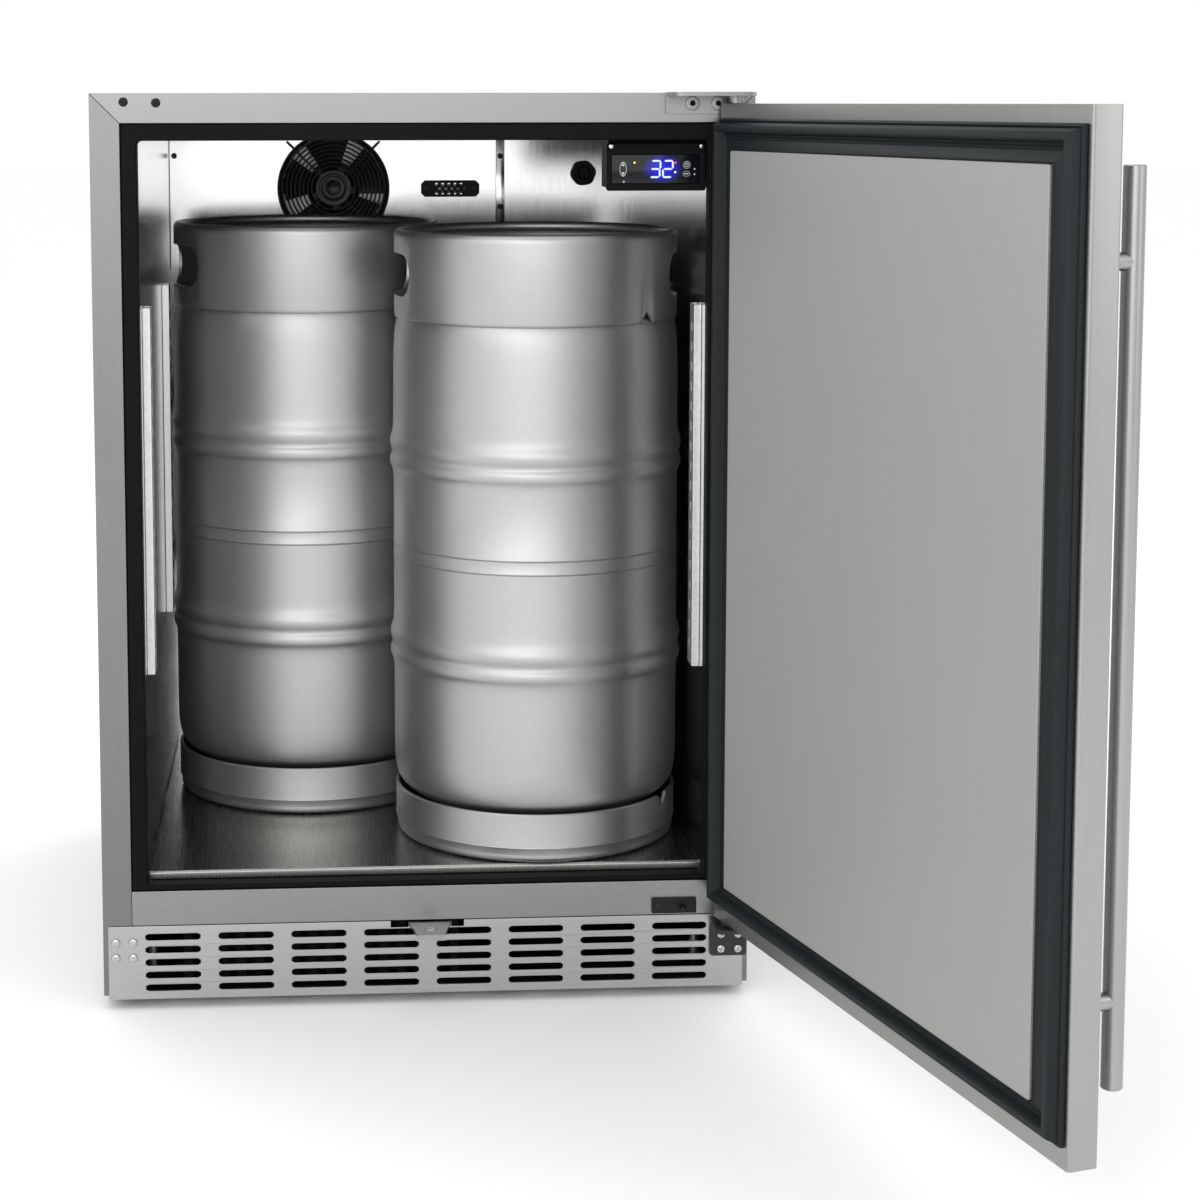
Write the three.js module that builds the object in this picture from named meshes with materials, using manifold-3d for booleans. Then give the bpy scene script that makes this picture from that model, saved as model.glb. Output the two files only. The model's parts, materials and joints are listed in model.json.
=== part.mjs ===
// Undercounter two-keg beer cooler (kegerator) with its door standing open.
// Millimetres, +Z up, +X to the right seen from the front, the cabinet's front plane at y = 0.
// The origin is on the floor, under the middle of the cabinet's front plane.
import * as THREE from "three";
import { mergeVertices } from "three/addons/utils/BufferGeometryUtils.js";
import Module from "manifold-3d";

const wasm = await Module();
wasm.setup();

// ---- driving dimensions ----
const gap = 0.3;
const sheet = 1.2;

const cabinetWidth = 607;
const cabinetTop = 853;
const cabinetDepth = 620;
const casingBottom = 12.5;
const flangeWidth = 27;
const hemDepth = 9;
const halfWidth = cabinetWidth / 2;

const openingHalfWidth = 261.5;
const openingTop = 810;
const openingBottom = 117;
const breakerFront = 1;
const breakerBack = 20;
const breakerBottom = 112.4;

const ceilingZ = 815.5;
const floorZ = 125;
const rearWallY = 494;
const linerFront = breakerBack + gap;
const foamBottom = 90;
const machineBayTop = 290;
const machineBayFront = 521;

const railTop = breakerBottom - gap;
const railBottom = 79.5;
const kickPlateTop = 79.2;
const kickPlateBottom = 9.2;
const kickPlateHalfWidth = 298.6;
const kickPlateBack = -0.6;
const kickPlateFront = -2;

const slotLength = 52.4;
const slotHeight = 6.4;
const slotColumns = 8;
const slotRows = 5;
const slotPitchX = 68.1;
const slotPitchZ = 12.2;
const firstSlotX = -238.5;
const topSlotZ = 68.8;

const coverFront = 488;
const coverRight = 99;
const coverBottom = 661;
const recess = { left: -250, right: 88, bottom: 668, top: 811, back: 588 };
const fanX = -81.1;
const fanZ = 750.3;
const fanRadius = 55;
const guardRadius = 62.1;
const guardHubRadius = 19.5;
const guardRings = 8;
const guardWire = 1.1;
const guardY = coverFront - 10.5;
const rotorY = coverFront + 13;
const motorFront = coverFront + 26;
const coilBack = 586;
const coilFins = 15;

const hingeX = 280.8;
const hingeY = -24.7;
const hingePinRadius = 4;
const doorAngle = 105.8;
const doorHingeEdge = 17.8;
const doorFreeEdge = -585.9;
const doorOuterFace = -18.2;
const doorLip = 7.5;
const doorBottom = 80.9;
const doorTop = 843.2;
const doorLipWidth = 24;
const panelFace = 15.6;
const panelHingeEdge = -22.5;
const panelFreeEdge = -545.4;
const panelBottom = 120;
const panelTop = 801;
const gasketHingeEdge = 11.5;
const gasketFreeEdge = -581;
const gasketBottom = 97.5;
const gasketTop = 830;
const gasketBand = 12.5;
const gasketCrest = 21.8;

const handleOffsetX = -552.5;
const handleOffsetY = -50;
const handleRadius = 8.2;
const handleBottom = 123.8;
const handleTop = 800.6;
const standoffRadius = 7;
const standoffHeights = { upper: 732, lower: 190.4 };

const lockX = -278.8;
const lockZ = 118;
const lockBoltY = 1;

const kegHeight = 597;
const kegBodyRadius = 140;
const kegRibRadius = 143.4;
const kegChimeRadius = 138.6;
const kegWall = 2;
const kegSegments = 24;
const frontKeg = { name: "keg_front", x: 114.2, y: 155, turn: -7 };
const rearKeg = { name: "keg_rear", x: -110, y: 334.8, turn: -17 };

const switchX = 240.6;
const switchZ = 87.6;

const footX = 262;
const footFrontY = 62;
const footRearY = 572;
const footStudRadius = 5;

const cordHole = { x: 230, z: 60, radius: 9 };

// ---- finishes ----
const brushedSteel = { color: 0xb9b9b6, roughness: 0.38, metalness: 0.9 };
const polishedSteel = { color: 0xc9c9c6, roughness: 0.22, metalness: 0.95 };
const satinSteel = { color: 0xb4b3ae, roughness: 0.45, metalness: 0.85 };
const blackPlastic = { color: 0x17181a, roughness: 0.5, metalness: 0 };
const blackMetal = { color: 0x1b1b1c, roughness: 0.45, metalness: 0.6 };
const darkGlass = { color: 0x07090c, roughness: 0.1, metalness: 0 };
const gasketRubber = { color: 0x4a4f55, roughness: 0.7, metalness: 0 };
const foam = { color: 0xd9cfa6, roughness: 0.9, metalness: 0 };
const aluminium = { color: 0xc4c8cc, roughness: 0.4, metalness: 0.8 };
const galvanised = { color: 0xa9adb0, roughness: 0.55, metalness: 0.8 };

// ---- solid helpers ----
const axisX = new THREE.Vector3(1, 0, 0);
const axisY = new THREE.Vector3(0, 1, 0);
const axisZ = new THREE.Vector3(0, 0, 1);
const backY = new THREE.Vector3(0, -1, 0);
const bases = { x: [axisY, axisZ, axisX], y: [axisX, axisZ, backY], z: [axisX, axisY, axisZ] };

// A closed mesh as a boolean solid, with its faces turned outwards.
function solidOf(geometry) {
  const bare = geometry.clone();
  bare.deleteAttribute("normal");
  bare.deleteAttribute("uv");
  const merged = mergeVertices(bare, 1e-4);
  const vertProperties = Float32Array.from(merged.attributes.position.array);
  const triVerts = Uint32Array.from(merged.index.array);
  if (signedVolume(vertProperties, triVerts) < 0) {
    triVerts.reverse();
  }
  return new wasm.Manifold(new wasm.Mesh({ numProp: 3, vertProperties, triVerts }));
}

function signedVolume(points, triangles) {
  let volume = 0;
  const corners = [new THREE.Vector3(), new THREE.Vector3(), new THREE.Vector3()];
  for (let i = 0; i < triangles.length; i += 3) {
    corners.forEach((corner, k) => corner.fromArray(points, triangles[i + k] * 3));
    volume += corners[0].dot(corners[1].clone().cross(corners[2])) / 6;
  }
  return volume;
}

function box(x0, x1, y0, y1, z0, z1) {
  const geometry = new THREE.BoxGeometry(x1 - x0, y1 - y0, z1 - z0);
  geometry.translate((x0 + x1) / 2, (y0 + y1) / 2, (z0 + z1) / 2);
  return solidOf(geometry);
}

// Extrudes an outline along an axis between two places on it. Outlines are drawn in
// (y, z) for axis x, in (x, z) for axis y and in (x, y) for axis z.
function prism(axis, outline, from, to, chamfer = 0) {
  const shape = Array.isArray(outline) ? shapeOf(outline) : outline;
  const geometry = new THREE.ExtrudeGeometry(shape, {
    depth: to - from - 2 * chamfer,
    bevelEnabled: chamfer > 0,
    bevelThickness: chamfer,
    bevelSize: chamfer,
    bevelOffset: -chamfer,
    bevelSegments: 1,
    curveSegments: 1,
  });
  geometry.translate(0, 0, chamfer);
  geometry.applyMatrix4(new THREE.Matrix4().makeBasis(...bases[axis]));
  const start = axis === "y" ? to : from;
  geometry.translate(...axisVector(axis).multiplyScalar(start).toArray());
  return solidOf(geometry);
}

function axisVector(axis) {
  return { x: axisX, y: axisY, z: axisZ }[axis].clone();
}

function shapeOf(points) {
  return new THREE.Shape(points.map(([a, b]) => new THREE.Vector2(a, b)));
}

function roundedRect(a0, a1, b0, b1, radius) {
  const shape = new THREE.Shape();
  shape.absarc(a1 - radius, b0 + radius, radius, -Math.PI / 2, 0);
  shape.absarc(a1 - radius, b1 - radius, radius, 0, Math.PI / 2);
  shape.absarc(a0 + radius, b1 - radius, radius, Math.PI / 2, Math.PI);
  shape.absarc(a0 + radius, b0 + radius, radius, Math.PI, Math.PI * 1.5);
  shape.closePath();
  return shape;
}

// A rectangular frame outline: a rounded rectangle with a rectangular hole.
function frameShape(outer, inner, outerRadius, innerRadius) {
  const shape = roundedRect(...outer, outerRadius);
  shape.holes.push(roundedRect(...inner, innerRadius));
  return shape;
}

// Turns a profile of [radius, height] points round an axis through (x, y, z).
function turned(profile, segments, centre, axis = "z") {
  const geometry = new THREE.LatheGeometry(shapeOf(profile).getPoints(), segments);
  const [across, up, along] = {
    x: [axisY, axisX, axisZ],
    y: [axisX, axisY, axisZ],
    z: [axisX, axisZ, backY],
  }[axis];
  geometry.applyMatrix4(new THREE.Matrix4().makeBasis(across, up, along));
  geometry.translate(...centre);
  return solidOf(geometry);
}

function cylinder(radius, from, to, centre, axis = "z", segments = 24) {
  return turned([[0, from], [radius, from], [radius, to], [0, to]], segments, centre, axis);
}

function joined(solids) {
  return solids.reduce((whole, piece) => whole.add(piece));
}

function cut(body, cutters) {
  return cutters.reduce((rest, cutter) => rest.subtract(cutter), body);
}

const model = new THREE.Group();
model.name = "kegerator";

function addPart(parent, name, solid, finish) {
  const { vertProperties, triVerts } = solid.getMesh();
  const geometry = new THREE.BufferGeometry();
  geometry.setAttribute("position", new THREE.BufferAttribute(vertProperties, 3));
  geometry.setIndex(new THREE.BufferAttribute(triVerts, 1));
  geometry.computeVertexNormals();
  const mesh = new THREE.Mesh(geometry, new THREE.MeshStandardMaterial(finish));
  mesh.name = name;
  parent.add(mesh);
}

// ---- casing ----
// One folded sheet: the side, a front flange and the flange's hem. The flange is
// mitred to the top panel's flange.
function sidePanel(side) {
  const inner = halfWidth - flangeWidth;
  const profile = [
    [halfWidth, 0],
    [halfWidth, cabinetDepth],
    [halfWidth - sheet, cabinetDepth],
    [halfWidth - sheet, sheet],
    [inner + sheet, sheet],
    [inner + sheet, hemDepth],
    [inner, hemDepth],
    [inner, 0],
  ].map(([x, y]) => [side * x, y]);
  return cut(prism("z", profile, casingBottom, cabinetTop), [mitreWedge(side, 1)]);
}

// The half-space above (part 1) or below (part -1) the mitre line, as a thick wedge.
function mitreWedge(side, part) {
  const shift = (part * gap) / 2;
  const corner = [side * (halfWidth + 40), cabinetTop + 40 - shift];
  const far = [side * (halfWidth - 80), cabinetTop - 80 - shift];
  const third = part > 0 ? [far[0], corner[1]] : [corner[0], far[1]];
  return prism("y", [corner, far, third], -5, cabinetDepth + 5);
}

function topPanel() {
  const inner = cabinetTop - flangeWidth;
  const profile = [
    [0, cabinetTop],
    [cabinetDepth, cabinetTop],
    [cabinetDepth, cabinetTop - sheet],
    [sheet, cabinetTop - sheet],
    [sheet, inner + sheet],
    [hemDepth, inner + sheet],
    [hemDepth, inner],
    [0, inner],
  ];
  const body = prism("x", profile, -halfWidth, halfWidth);
  return cut(body, [mitreWedge(1, -1), mitreWedge(-1, -1)]);
}

function rearPanel() {
  const body = box(-302, 302, cabinetDepth - sheet, cabinetDepth, 14, cabinetTop - 2);
  const cutters = [cylinder(cordHole.radius, -10, 10, [cordHole.x, cabinetDepth, cordHole.z], "y", 14)];
  for (let row = 0; row < 7; row += 1) {
    for (const x of [-120, 0]) {
      const z = 90 + row * 22;
      cutters.push(box(x - 52, x + 52, cabinetDepth - 6, cabinetDepth + 6, z - 4.5, z + 4.5));
    }
  }
  return cut(body, cutters);
}

// A flanged gland with a nut inside the panel and an open bore.
function cordGland() {
  const face = cabinetDepth + gap;
  const inside = cabinetDepth - sheet - gap;
  const shank = cordHole.radius - gap;
  const profile = [
    [3.6, inside - 12], [shank, inside - 12], [shank, inside - 7], [13, inside - 7], [13, inside],
    [shank, inside], [shank, face], [12, face], [12, face + 3], [7, face + 8], [3.6, face + 8],
  ];
  return turned([...profile, profile[0]], 12, [cordHole.x, 0, cordHole.z], "y");
}

function basePan() {
  const halfSpan = 302;
  const profile = [
    [-halfSpan, 13],
    [halfSpan, 13],
    [halfSpan, 28],
    [halfSpan - sheet, 28],
    [halfSpan - sheet, 13 + sheet],
    [sheet - halfSpan, 13 + sheet],
    [sheet - halfSpan, 28],
    [-halfSpan, 28],
  ];
  const body = prism("y", profile, hemDepth + 1, cabinetDepth - 2);
  const holes = footPlaces().map(([x, y]) => cylinder(footStudRadius + 0.4, 5, 30, [x, y, 0], "z", 12));
  return cut(body, holes);
}

function frontRail() {
  const halfSpan = halfWidth - flangeWidth - gap;
  const profile = [
    [0, railBottom],
    [18, railBottom],
    [18, railBottom + sheet],
    [sheet, railBottom + sheet],
    [sheet, railTop - sheet],
    [18, railTop - sheet],
    [18, railTop],
    [0, railTop],
  ];
  const switchHole = cylinder(3.4, -5, 5, [switchX, 0, switchZ], "y", 12);
  return cut(prism("x", profile, -halfSpan, halfSpan), [switchHole]);
}

function breakerFrame() {
  const halfSpan = halfWidth - flangeWidth - gap;
  const outer = [-halfSpan, halfSpan, breakerBottom, cabinetTop - flangeWidth - gap];
  const inner = [-openingHalfWidth, openingHalfWidth, openingBottom, openingTop];
  return prism("y", frameShape(outer, inner, 2, 4), breakerFront, breakerBack, 1.2);
}

// The toe plate with its obround air slots and a notch over the lock strike.
function kickPlate() {
  const plate = roundedRect(-kickPlateHalfWidth, kickPlateHalfWidth, kickPlateBottom, kickPlateTop, 1);
  for (let row = 0; row < slotRows; row += 1) {
    for (let column = 0; column < slotColumns; column += 1) {
      const x = firstSlotX + column * slotPitchX;
      const z = topSlotZ - row * slotPitchZ;
      plate.holes.push(obround(x, z, slotLength, slotHeight));
    }
  }
  const notch = box(-35, 34, kickPlateFront - 1, kickPlateBack + 1, 73, kickPlateTop + 1);
  return cut(prism("y", plate, kickPlateFront, kickPlateBack), [notch]);
}

function obround(x, z, length, height) {
  const radius = height / 2;
  const reach = length / 2 - radius;
  const points = [];
  for (const end of [1, -1]) {
    for (const degrees of [-90, -32, 32, 90]) {
      const turn = THREE.MathUtils.degToRad(degrees);
      const [across, up] = [reach + radius * Math.cos(turn), radius * Math.sin(turn)];
      points.push(new THREE.Vector2(x + end * across, z + end * up));
    }
  }
  return new THREE.Path(points);
}

function footPlaces() {
  return [[-footX, footFrontY], [footX, footFrontY], [-footX, footRearY], [footX, footRearY]];
}

// A levelling foot: pad, hexagonal nut and stud in one.
function levellingFoot(x, y) {
  const pad = turned([[0, 0], [17, 0], [17, 4], [9, 6.5], [0, 6.5]], 16, [x, y, 0]);
  const nut = cylinder(9, 6, 11.5, [x, y, 0], "z", 6);
  const stud = cylinder(footStudRadius, 11, 42, [x, y, 0], "z", 10);
  return joined([pad, nut, stud]);
}

// ---- insulated box ----
function linerSide(side) {
  const faces = [side * openingHalfWidth, side * (openingHalfWidth + sheet)];
  return box(...faces.sort((a, b) => a - b), linerFront, rearWallY - gap, 118, ceilingZ + sheet);
}

function linerTop() {
  const half = openingHalfWidth - gap;
  return box(-half, half, linerFront, rearWallY - gap, ceilingZ, ceilingZ + sheet);
}

// The rear wall with the evaporator's recess drawn back into the foam.
function linerBack() {
  const half = openingHalfWidth + sheet;
  const wall = box(-half, half, rearWallY, rearWallY + sheet, 118, ceilingZ + sheet);
  const { left, right, bottom, top, back } = recess;
  const shell = box(left - sheet, right + sheet, rearWallY, back + sheet, bottom - sheet, top + sheet);
  const hollow = box(left, right, rearWallY - 1, back, bottom, top);
  return cut(wall.add(shell), [hollow]);
}

// The floor sheet, with a rounded nose that folds down behind the breaker frame.
function floorPan() {
  const nose = breakerBack + 0.4;
  const bend = nose + 2;
  const profile = [
    [nose, openingBottom + 0.5],
    [nose + sheet, openingBottom + 0.5],
    [nose + sheet, floorZ - 2.4],
    [bend + sheet, floorZ - sheet],
    [rearWallY - gap, floorZ - sheet],
    [rearWallY - gap, floorZ],
    [bend, floorZ],
    [nose, floorZ - 1.8],
  ];
  const half = openingHalfWidth - gap;
  return prism("x", profile, -half, half);
}

// Foam filling the walls between the casing and the liner, open at the front.
function insulation() {
  const block = box(-302, 302, 22, cabinetDepth - 1.6, foamBottom, cabinetTop - 2);
  const half = openingHalfWidth + sheet + gap;
  const cavity = box(-half, half, 0, rearWallY + sheet + gap, floorZ - 1.8, ceilingZ + sheet + gap);
  const { left, right, bottom, top, back } = recess;
  const margin = sheet + gap;
  const pocket = box(left - margin, right + margin, 400, back + margin, bottom - margin, top + margin);
  const sleeve = box(-half, half, 0, rearWallY + sheet + gap, 117, 140);
  const bay = box(-310, 310, machineBayFront, cabinetDepth + 10, foamBottom - 5, machineBayTop);
  return cut(block, [cavity, pocket, sleeve, bay]);
}

// ---- evaporator and its fan ----
function evaporatorCover() {
  const left = -openingHalfWidth + gap;
  const top = ceilingZ - gap;
  const back = rearWallY - gap;
  const [right, bottom] = [coverRight - sheet, coverBottom + sheet];
  const tray = box(left, coverRight, coverFront, back, coverBottom, top);
  const hollow = box(left - 5, right, coverFront + sheet, back + 5, bottom, top + 5);
  const mouth = cylinder(fanRadius + 2, -5, 5, [fanX, coverFront, fanZ], "y", 32);
  const ventSlot = box(24, 72, coverFront - 5, coverFront + 5, 744, 754);
  return cut(tray, [hollow, mouth, ventSlot]);
}

function evaporatorCoil() {
  return finnedBlock(-244, 82, coilBack - 26, coilBack, 674, 805, coilFins);
}

// A block of upright fins on a common header, as a comb outline drawn from above.
function finnedBlock(x0, x1, y0, y1, z0, z1, fins) {
  const pitch = (x1 - x0) / (fins + 0.5);
  const root = y1 - (y1 - y0) * 0.35;
  const outline = [[x0, y1]];
  for (let i = 0; i <= fins; i += 1) {
    const x = x0 + i * pitch;
    outline.push([x, y0], [x + pitch / 2, y0]);
    if (i < fins) {
      outline.push([x + pitch / 2, root], [x + pitch, root]);
    }
  }
  outline.push([x1, y1]);
  return prism("z", outline, z0, z1);
}

function fanGuard() {
  const centre = [fanX, guardY, fanZ];
  const pieces = [cylinder(guardHubRadius, -1, 0.6, centre, "y", 20)];
  const pitch = (guardRadius - guardWire - guardHubRadius - 5) / (guardRings - 1);
  for (let ring = 0; ring < guardRings; ring += 1) {
    pieces.push(wireRing(guardHubRadius + 5 + ring * pitch));
  }
  for (let arm = 0; arm < 4; arm += 1) {
    pieces.push(guardArm(45 + arm * 90));
  }
  return joined(pieces);
}

function wireRing(radius) {
  const wire = [];
  for (let i = 0; i < 3; i += 1) {
    const turn = (i / 3) * Math.PI * 2;
    wire.push([radius + guardWire * Math.cos(turn), guardWire * Math.sin(turn)]);
  }
  wire.push(wire[0]);
  const geometry = new THREE.LatheGeometry(wire.map(([a, b]) => new THREE.Vector2(a, b)), 16);
  geometry.translate(fanX, guardY, fanZ);
  return solidOf(geometry);
}

// A spoke behind the rings, bent back at its end to a foot on the cover.
function guardArm(degrees) {
  const y = guardY + 0.6;
  const foot = coverFront - gap;
  const outline = [[14, y], [68, y], [75, foot], [73, foot], [66.5, y + 2], [14, y + 2]];
  const geometry = new THREE.ExtrudeGeometry(shapeOf(outline), { depth: 2.4, bevelEnabled: false });
  geometry.translate(0, 0, -1.2);
  geometry.rotateY(THREE.MathUtils.degToRad(-degrees));
  geometry.translate(fanX, 0, fanZ);
  return solidOf(geometry);
}

// A hub with broad pitched blades, each a slice of a disc lifted along the axis.
function bladedRotor(centre, radius, hubRadius, depth, blades) {
  const pieces = [cylinder(hubRadius, -depth / 2, depth / 2, centre, "y", 16)];
  for (let i = 0; i < blades; i += 1) {
    pieces.push(rotorBlade(centre, radius, hubRadius, depth, (i / blades) * Math.PI * 2, blades));
  }
  return joined(pieces);
}

// One blade: a sector whose leading edge is further forward than its trailing edge.
function rotorBlade(centre, radius, hubRadius, depth, start, blades) {
  const sweep = ((Math.PI * 2) / blades) * 0.72;
  const steps = 3;
  const inner = hubRadius - 1;
  const half = 0.6;
  const points = [];
  for (let i = 0; i <= steps; i += 1) {
    const angle = start + (sweep * i) / steps;
    const lift = (i / steps - 0.5) * (depth - 2 * half - 1);
    const [front, back] = [lift - half, lift + half];
    for (const [r, y] of [[inner, front], [radius, front], [radius, back], [inner, back]]) {
      points.push(centre[0] + r * Math.cos(angle), centre[1] + y, centre[2] + r * Math.sin(angle));
    }
  }
  const faces = [];
  const quad = (a, b, c, d) => faces.push(a, b, c, a, c, d);
  for (let i = 0; i < steps; i += 1) {
    const at = i * 4;
    quad(at, at + 1, at + 5, at + 4);
    quad(at + 1, at + 2, at + 6, at + 5);
    quad(at + 2, at + 3, at + 7, at + 6);
    quad(at + 3, at, at + 4, at + 7);
  }
  const last = steps * 4;
  quad(3, 2, 1, 0);
  quad(last, last + 1, last + 2, last + 3);
  const geometry = new THREE.BufferGeometry();
  geometry.setAttribute("position", new THREE.Float32BufferAttribute(points, 3));
  geometry.setIndex(faces);
  return solidOf(geometry);
}

// The fan motor on a strap that reaches forward to the cover on both sides.
function fanMotor() {
  const centre = [fanX, motorFront, fanZ];
  const back = motorFront + 39;
  const can = turned([[0, 0], [26, 0], [29, 3], [29, 34], [25, 37.5], [0, 37.5]], 16, centre, "y");
  const shaft = cylinder(3, -4, 2, centre, "y", 8);
  const strap = box(fanX - 72, fanX + 72, back - 2, back, fanZ - 9, fanZ + 9);
  const front = coverFront + sheet + gap;
  const legs = [-72, 70].map((x) => box(fanX + x, fanX + x + 2, front, back, fanZ - 9, fanZ + 9));
  return joined([can, shaft, strap, ...legs]);
}

// ---- small fittings on the rear wall ----
function ventPlate() {
  const [x0, x1, z0, z1] = [15.8, 80.4, 740, 758.3];
  const corner = 4;
  const outline = shapeOf([
    [x0 + corner, z0], [x1 - corner, z0], [x1, z0 + corner], [x1, z1 - corner],
    [x1 - corner, z1], [x0 + corner, z1], [x0, z1 - corner], [x0, z0 + corner],
  ]);
  for (let row = 0; row < 3; row += 1) {
    for (let column = 0; column < 5; column += 1) {
      const x = 33 + column * 6.8 + (row % 2) * 3.4;
      outline.holes.push(polygonPath(x, 744.4 + row * 4.6, 1.9, 6));
    }
  }
  return prism("y", outline, coverFront - 2.3, coverFront - gap);
}

function polygonPath(x, z, radius, sides) {
  const path = new THREE.Path();
  for (let i = 0; i <= sides; i += 1) {
    const turn = (i / sides) * Math.PI * 2;
    const point = [x + radius * Math.cos(turn), z + radius * Math.sin(turn)];
    if (i === 0) {
      path.moveTo(...point);
    } else {
      path.lineTo(...point);
    }
  }
  return path;
}

function lineGrommet() {
  const centre = [196.8, 0, 765.7];
  const outline = new THREE.Shape(polygonPath(centre[0], centre[2], 15.6, 6).getPoints());
  const flange = prism("y", outline, rearWallY - 7, rearWallY - gap, 1);
  return cut(flange, [cylinder(7, rearWallY - 9, rearWallY - 3, centre, "y", 16)]);
}

// ---- controller ----
function controllerHousing() {
  const bezel = prism("y", roundedRect(168.5, 260.8, 762.8, 807.2, 2), 18, 24, 1);
  const body = box(171, 259.5, 24 - 0.5, 82, 765, ceilingZ - gap);
  const clearance = box(160, 270, 10, linerFront + 5, 807.3, 830);
  const pocket = box(172.6, 254.4, 15, 21, 769, 796.7);
  return cut(bezel.add(body), [clearance, pocket]);
}

function controllerWindow() {
  return prism("y", roundedRect(172.9, 254.1, 769.3, 796.4, 1.5), 18.6, 20.7, 0.4);
}

// ---- shelf standards ----
// A slotted channel on a side wall, its open side to the wall.
function shelfStandard(side, front) {
  const wall = openingHalfWidth - gap;
  const face = wall - 7;
  const width = 26;
  const profile = [
    [wall, front],
    [wall, front + 1.4],
    [face + 1.4, front + 1.4],
    [face + 1.4, front + width - 1.4],
    [wall, front + width - 1.4],
    [wall, front + width],
    [face, front + width],
    [face, front],
  ].map(([x, y]) => [side * x, y]);
  const slots = [];
  for (let i = 0; i < 17; i += 1) {
    const z = 324 + i * 19.05;
    const reach = [side * (face - 2), side * (face + 3)].sort((a, b) => a - b);
    slots.push(box(...reach, front + 8, front + width - 8, z, z + 9));
  }
  return cut(prism("z", profile, 309, 655), slots);
}

// ---- hinges, door switch and strike ----
function topHinge() {
  const plate = prism("z", roundedRect(222, 298, -46, 4, 8), 850, 853.6);
  const behind = box(200, 320, -0.3, 20, 840, 870);
  const leg = box(220, 281, -3.2, -0.3, 834, 853.6);
  const pin = cylinder(hingePinRadius, 832, 851, [hingeX, hingeY, 0], "z", 16);
  const collar = cylinder(7.4, doorTop + gap, 851, [hingeX, hingeY, 0], "z", 16);
  const head = [[0, 2], [6.5, 2], [6.5, -0.6], [4.5, -1.8], [0, -1.8]];
  const screws = [244.7, 268.5].map((x) => turned(head, 12, [x, -3.2, 843.4], "y"));
  return cut(joined([plate, leg, pin, collar, ...screws]), [behind]);
}

function lowerHinge() {
  const back = kickPlateFront - gap;
  const plate = prism("y", roundedRect(266.7, 301.8, 39.7, 77.5, 3), back - 3.5, back);
  const leg = prism("z", roundedRect(266.7, 301.8, -45, back, 6), 73.5, 77.5);
  const heel = box(266.7, 301.8, -12, back, 73.5, 77.5);
  const pin = cylinder(hingePinRadius, 75, 92.5, [hingeX, hingeY, 0], "z", 16);
  const collar = cylinder(7.4, 77, doorBottom - gap, [hingeX, hingeY, 0], "z", 16);
  return joined([plate, leg, heel, pin, collar]);
}

function switchHousing() {
  const plate = prism("y", roundedRect(211.8, 254.2, 81.3, 95.8, 1), -3.3, -gap, 0.5);
  const nose = cylinder(4.4, -5.2, -2, [switchX, 0, switchZ], "y", 14);
  const bore = cylinder(2.9, -8, 3, [switchX, 0, switchZ], "y", 14);
  return cut(plate.add(nose), [bore]);
}

function switchPlunger() {
  const tip = [[0, -12.5], [1.6, -12.2], [2.5, -11], [2.5, -gap - 0.2], [0, -gap - 0.2]];
  return turned(tip, 14, [switchX, 0, switchZ], "y");
}

// A tongue under the door's lower edge that narrows forwards, with a bolt hole.
function lockStrike() {
  const tongue = prism("z", [[-18, -1.5], [-11.5, -38], [14.5, -38], [22, -1.5]], 75.6, 78);
  const lip = box(-11.5, 14.5, -40, -37.5, 72.5, 78);
  const root = box(-18, 22, -2.4, -0.3, 73.3, 78);
  const boltHole = cylinder(5.5, 70, 85, [hingeX + lockX, hingeY + lockBoltY, 0], "z", 16);
  return cut(joined([tongue, lip, root]), [boltHole]);
}

// ---- refrigeration under and behind the insulated box ----
function compressor() {
  const dome = [[43, 50], [42, 66], [34, 82], [20, 90], [0, 92]];
  const base = dome.map(([r, h]) => [r, -h]).reverse();
  const can = turned([...base, ...dome], 16, [0, 567, 68], "x");
  const tray = box(-80, 80, 524, 610, 15, 18);
  const feet = [-50, 50].map((x) => box(x - 8, x + 8, 540, 594, 17, 40));
  const terminal = box(-15, 15, 545, 590, 100, 118);
  return joined([can, tray, ...feet, terminal]);
}

function condenserCoil() {
  return finnedBlock(-230, 30, 22, 48, 18, 84, coilFins);
}

function condenserShroud() {
  const centre = [-100, 0, 51];
  const plate = cut(box(-230, 30, 51, 53, 18, 84), [cylinder(31, 40, 60, centre, "y")]);
  const ring = cut(cylinder(33, 51, 66, centre, "y"), [cylinder(31, 40, 80, centre, "y")]);
  const motor = cylinder(14, 70, 92, centre, "y", 14);
  const crossBar = box(-133, -67, 66, 71, 48, 54);
  const upright = box(-103, -97, 66, 71, 18.5, 83.5);
  return joined([plate, ring, motor, crossBar, upright]);
}

// ---- kegs ----
const kegRib = 9;

// Outer profile of a rolling hoop: two rounded humps with a valley between.
function hoop(z) {
  return [
    [kegBodyRadius, z - 2 * kegRib],
    [kegRibRadius, z - kegRib],
    [kegRibRadius - 2, z],
    [kegRibRadius, z + kegRib],
    [kegBodyRadius, z + 2 * kegRib],
  ];
}

// A hollow drawn vessel: dished ends, two double hoops and an open neck.
function kegShell(keg) {
  const outer = [
    [0, 22], [70, 25], [118, 40], [kegBodyRadius - 1, 60],
    ...hoop(189), ...hoop(379),
    [kegBodyRadius - 1, 500], [134, 516], [112, 534], [34, 545], [31, 549], [31, 556],
  ];
  const inner = [
    [27, 556], [27, 542], [110, 531], [kegBodyRadius - kegWall - 1, 498],
    [kegBodyRadius - kegWall - 1, 62], [0, 24.5],
  ];
  return turned([...outer, ...inner], kegSegments, [keg.x, keg.y, floorZ + gap]);
}

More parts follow.
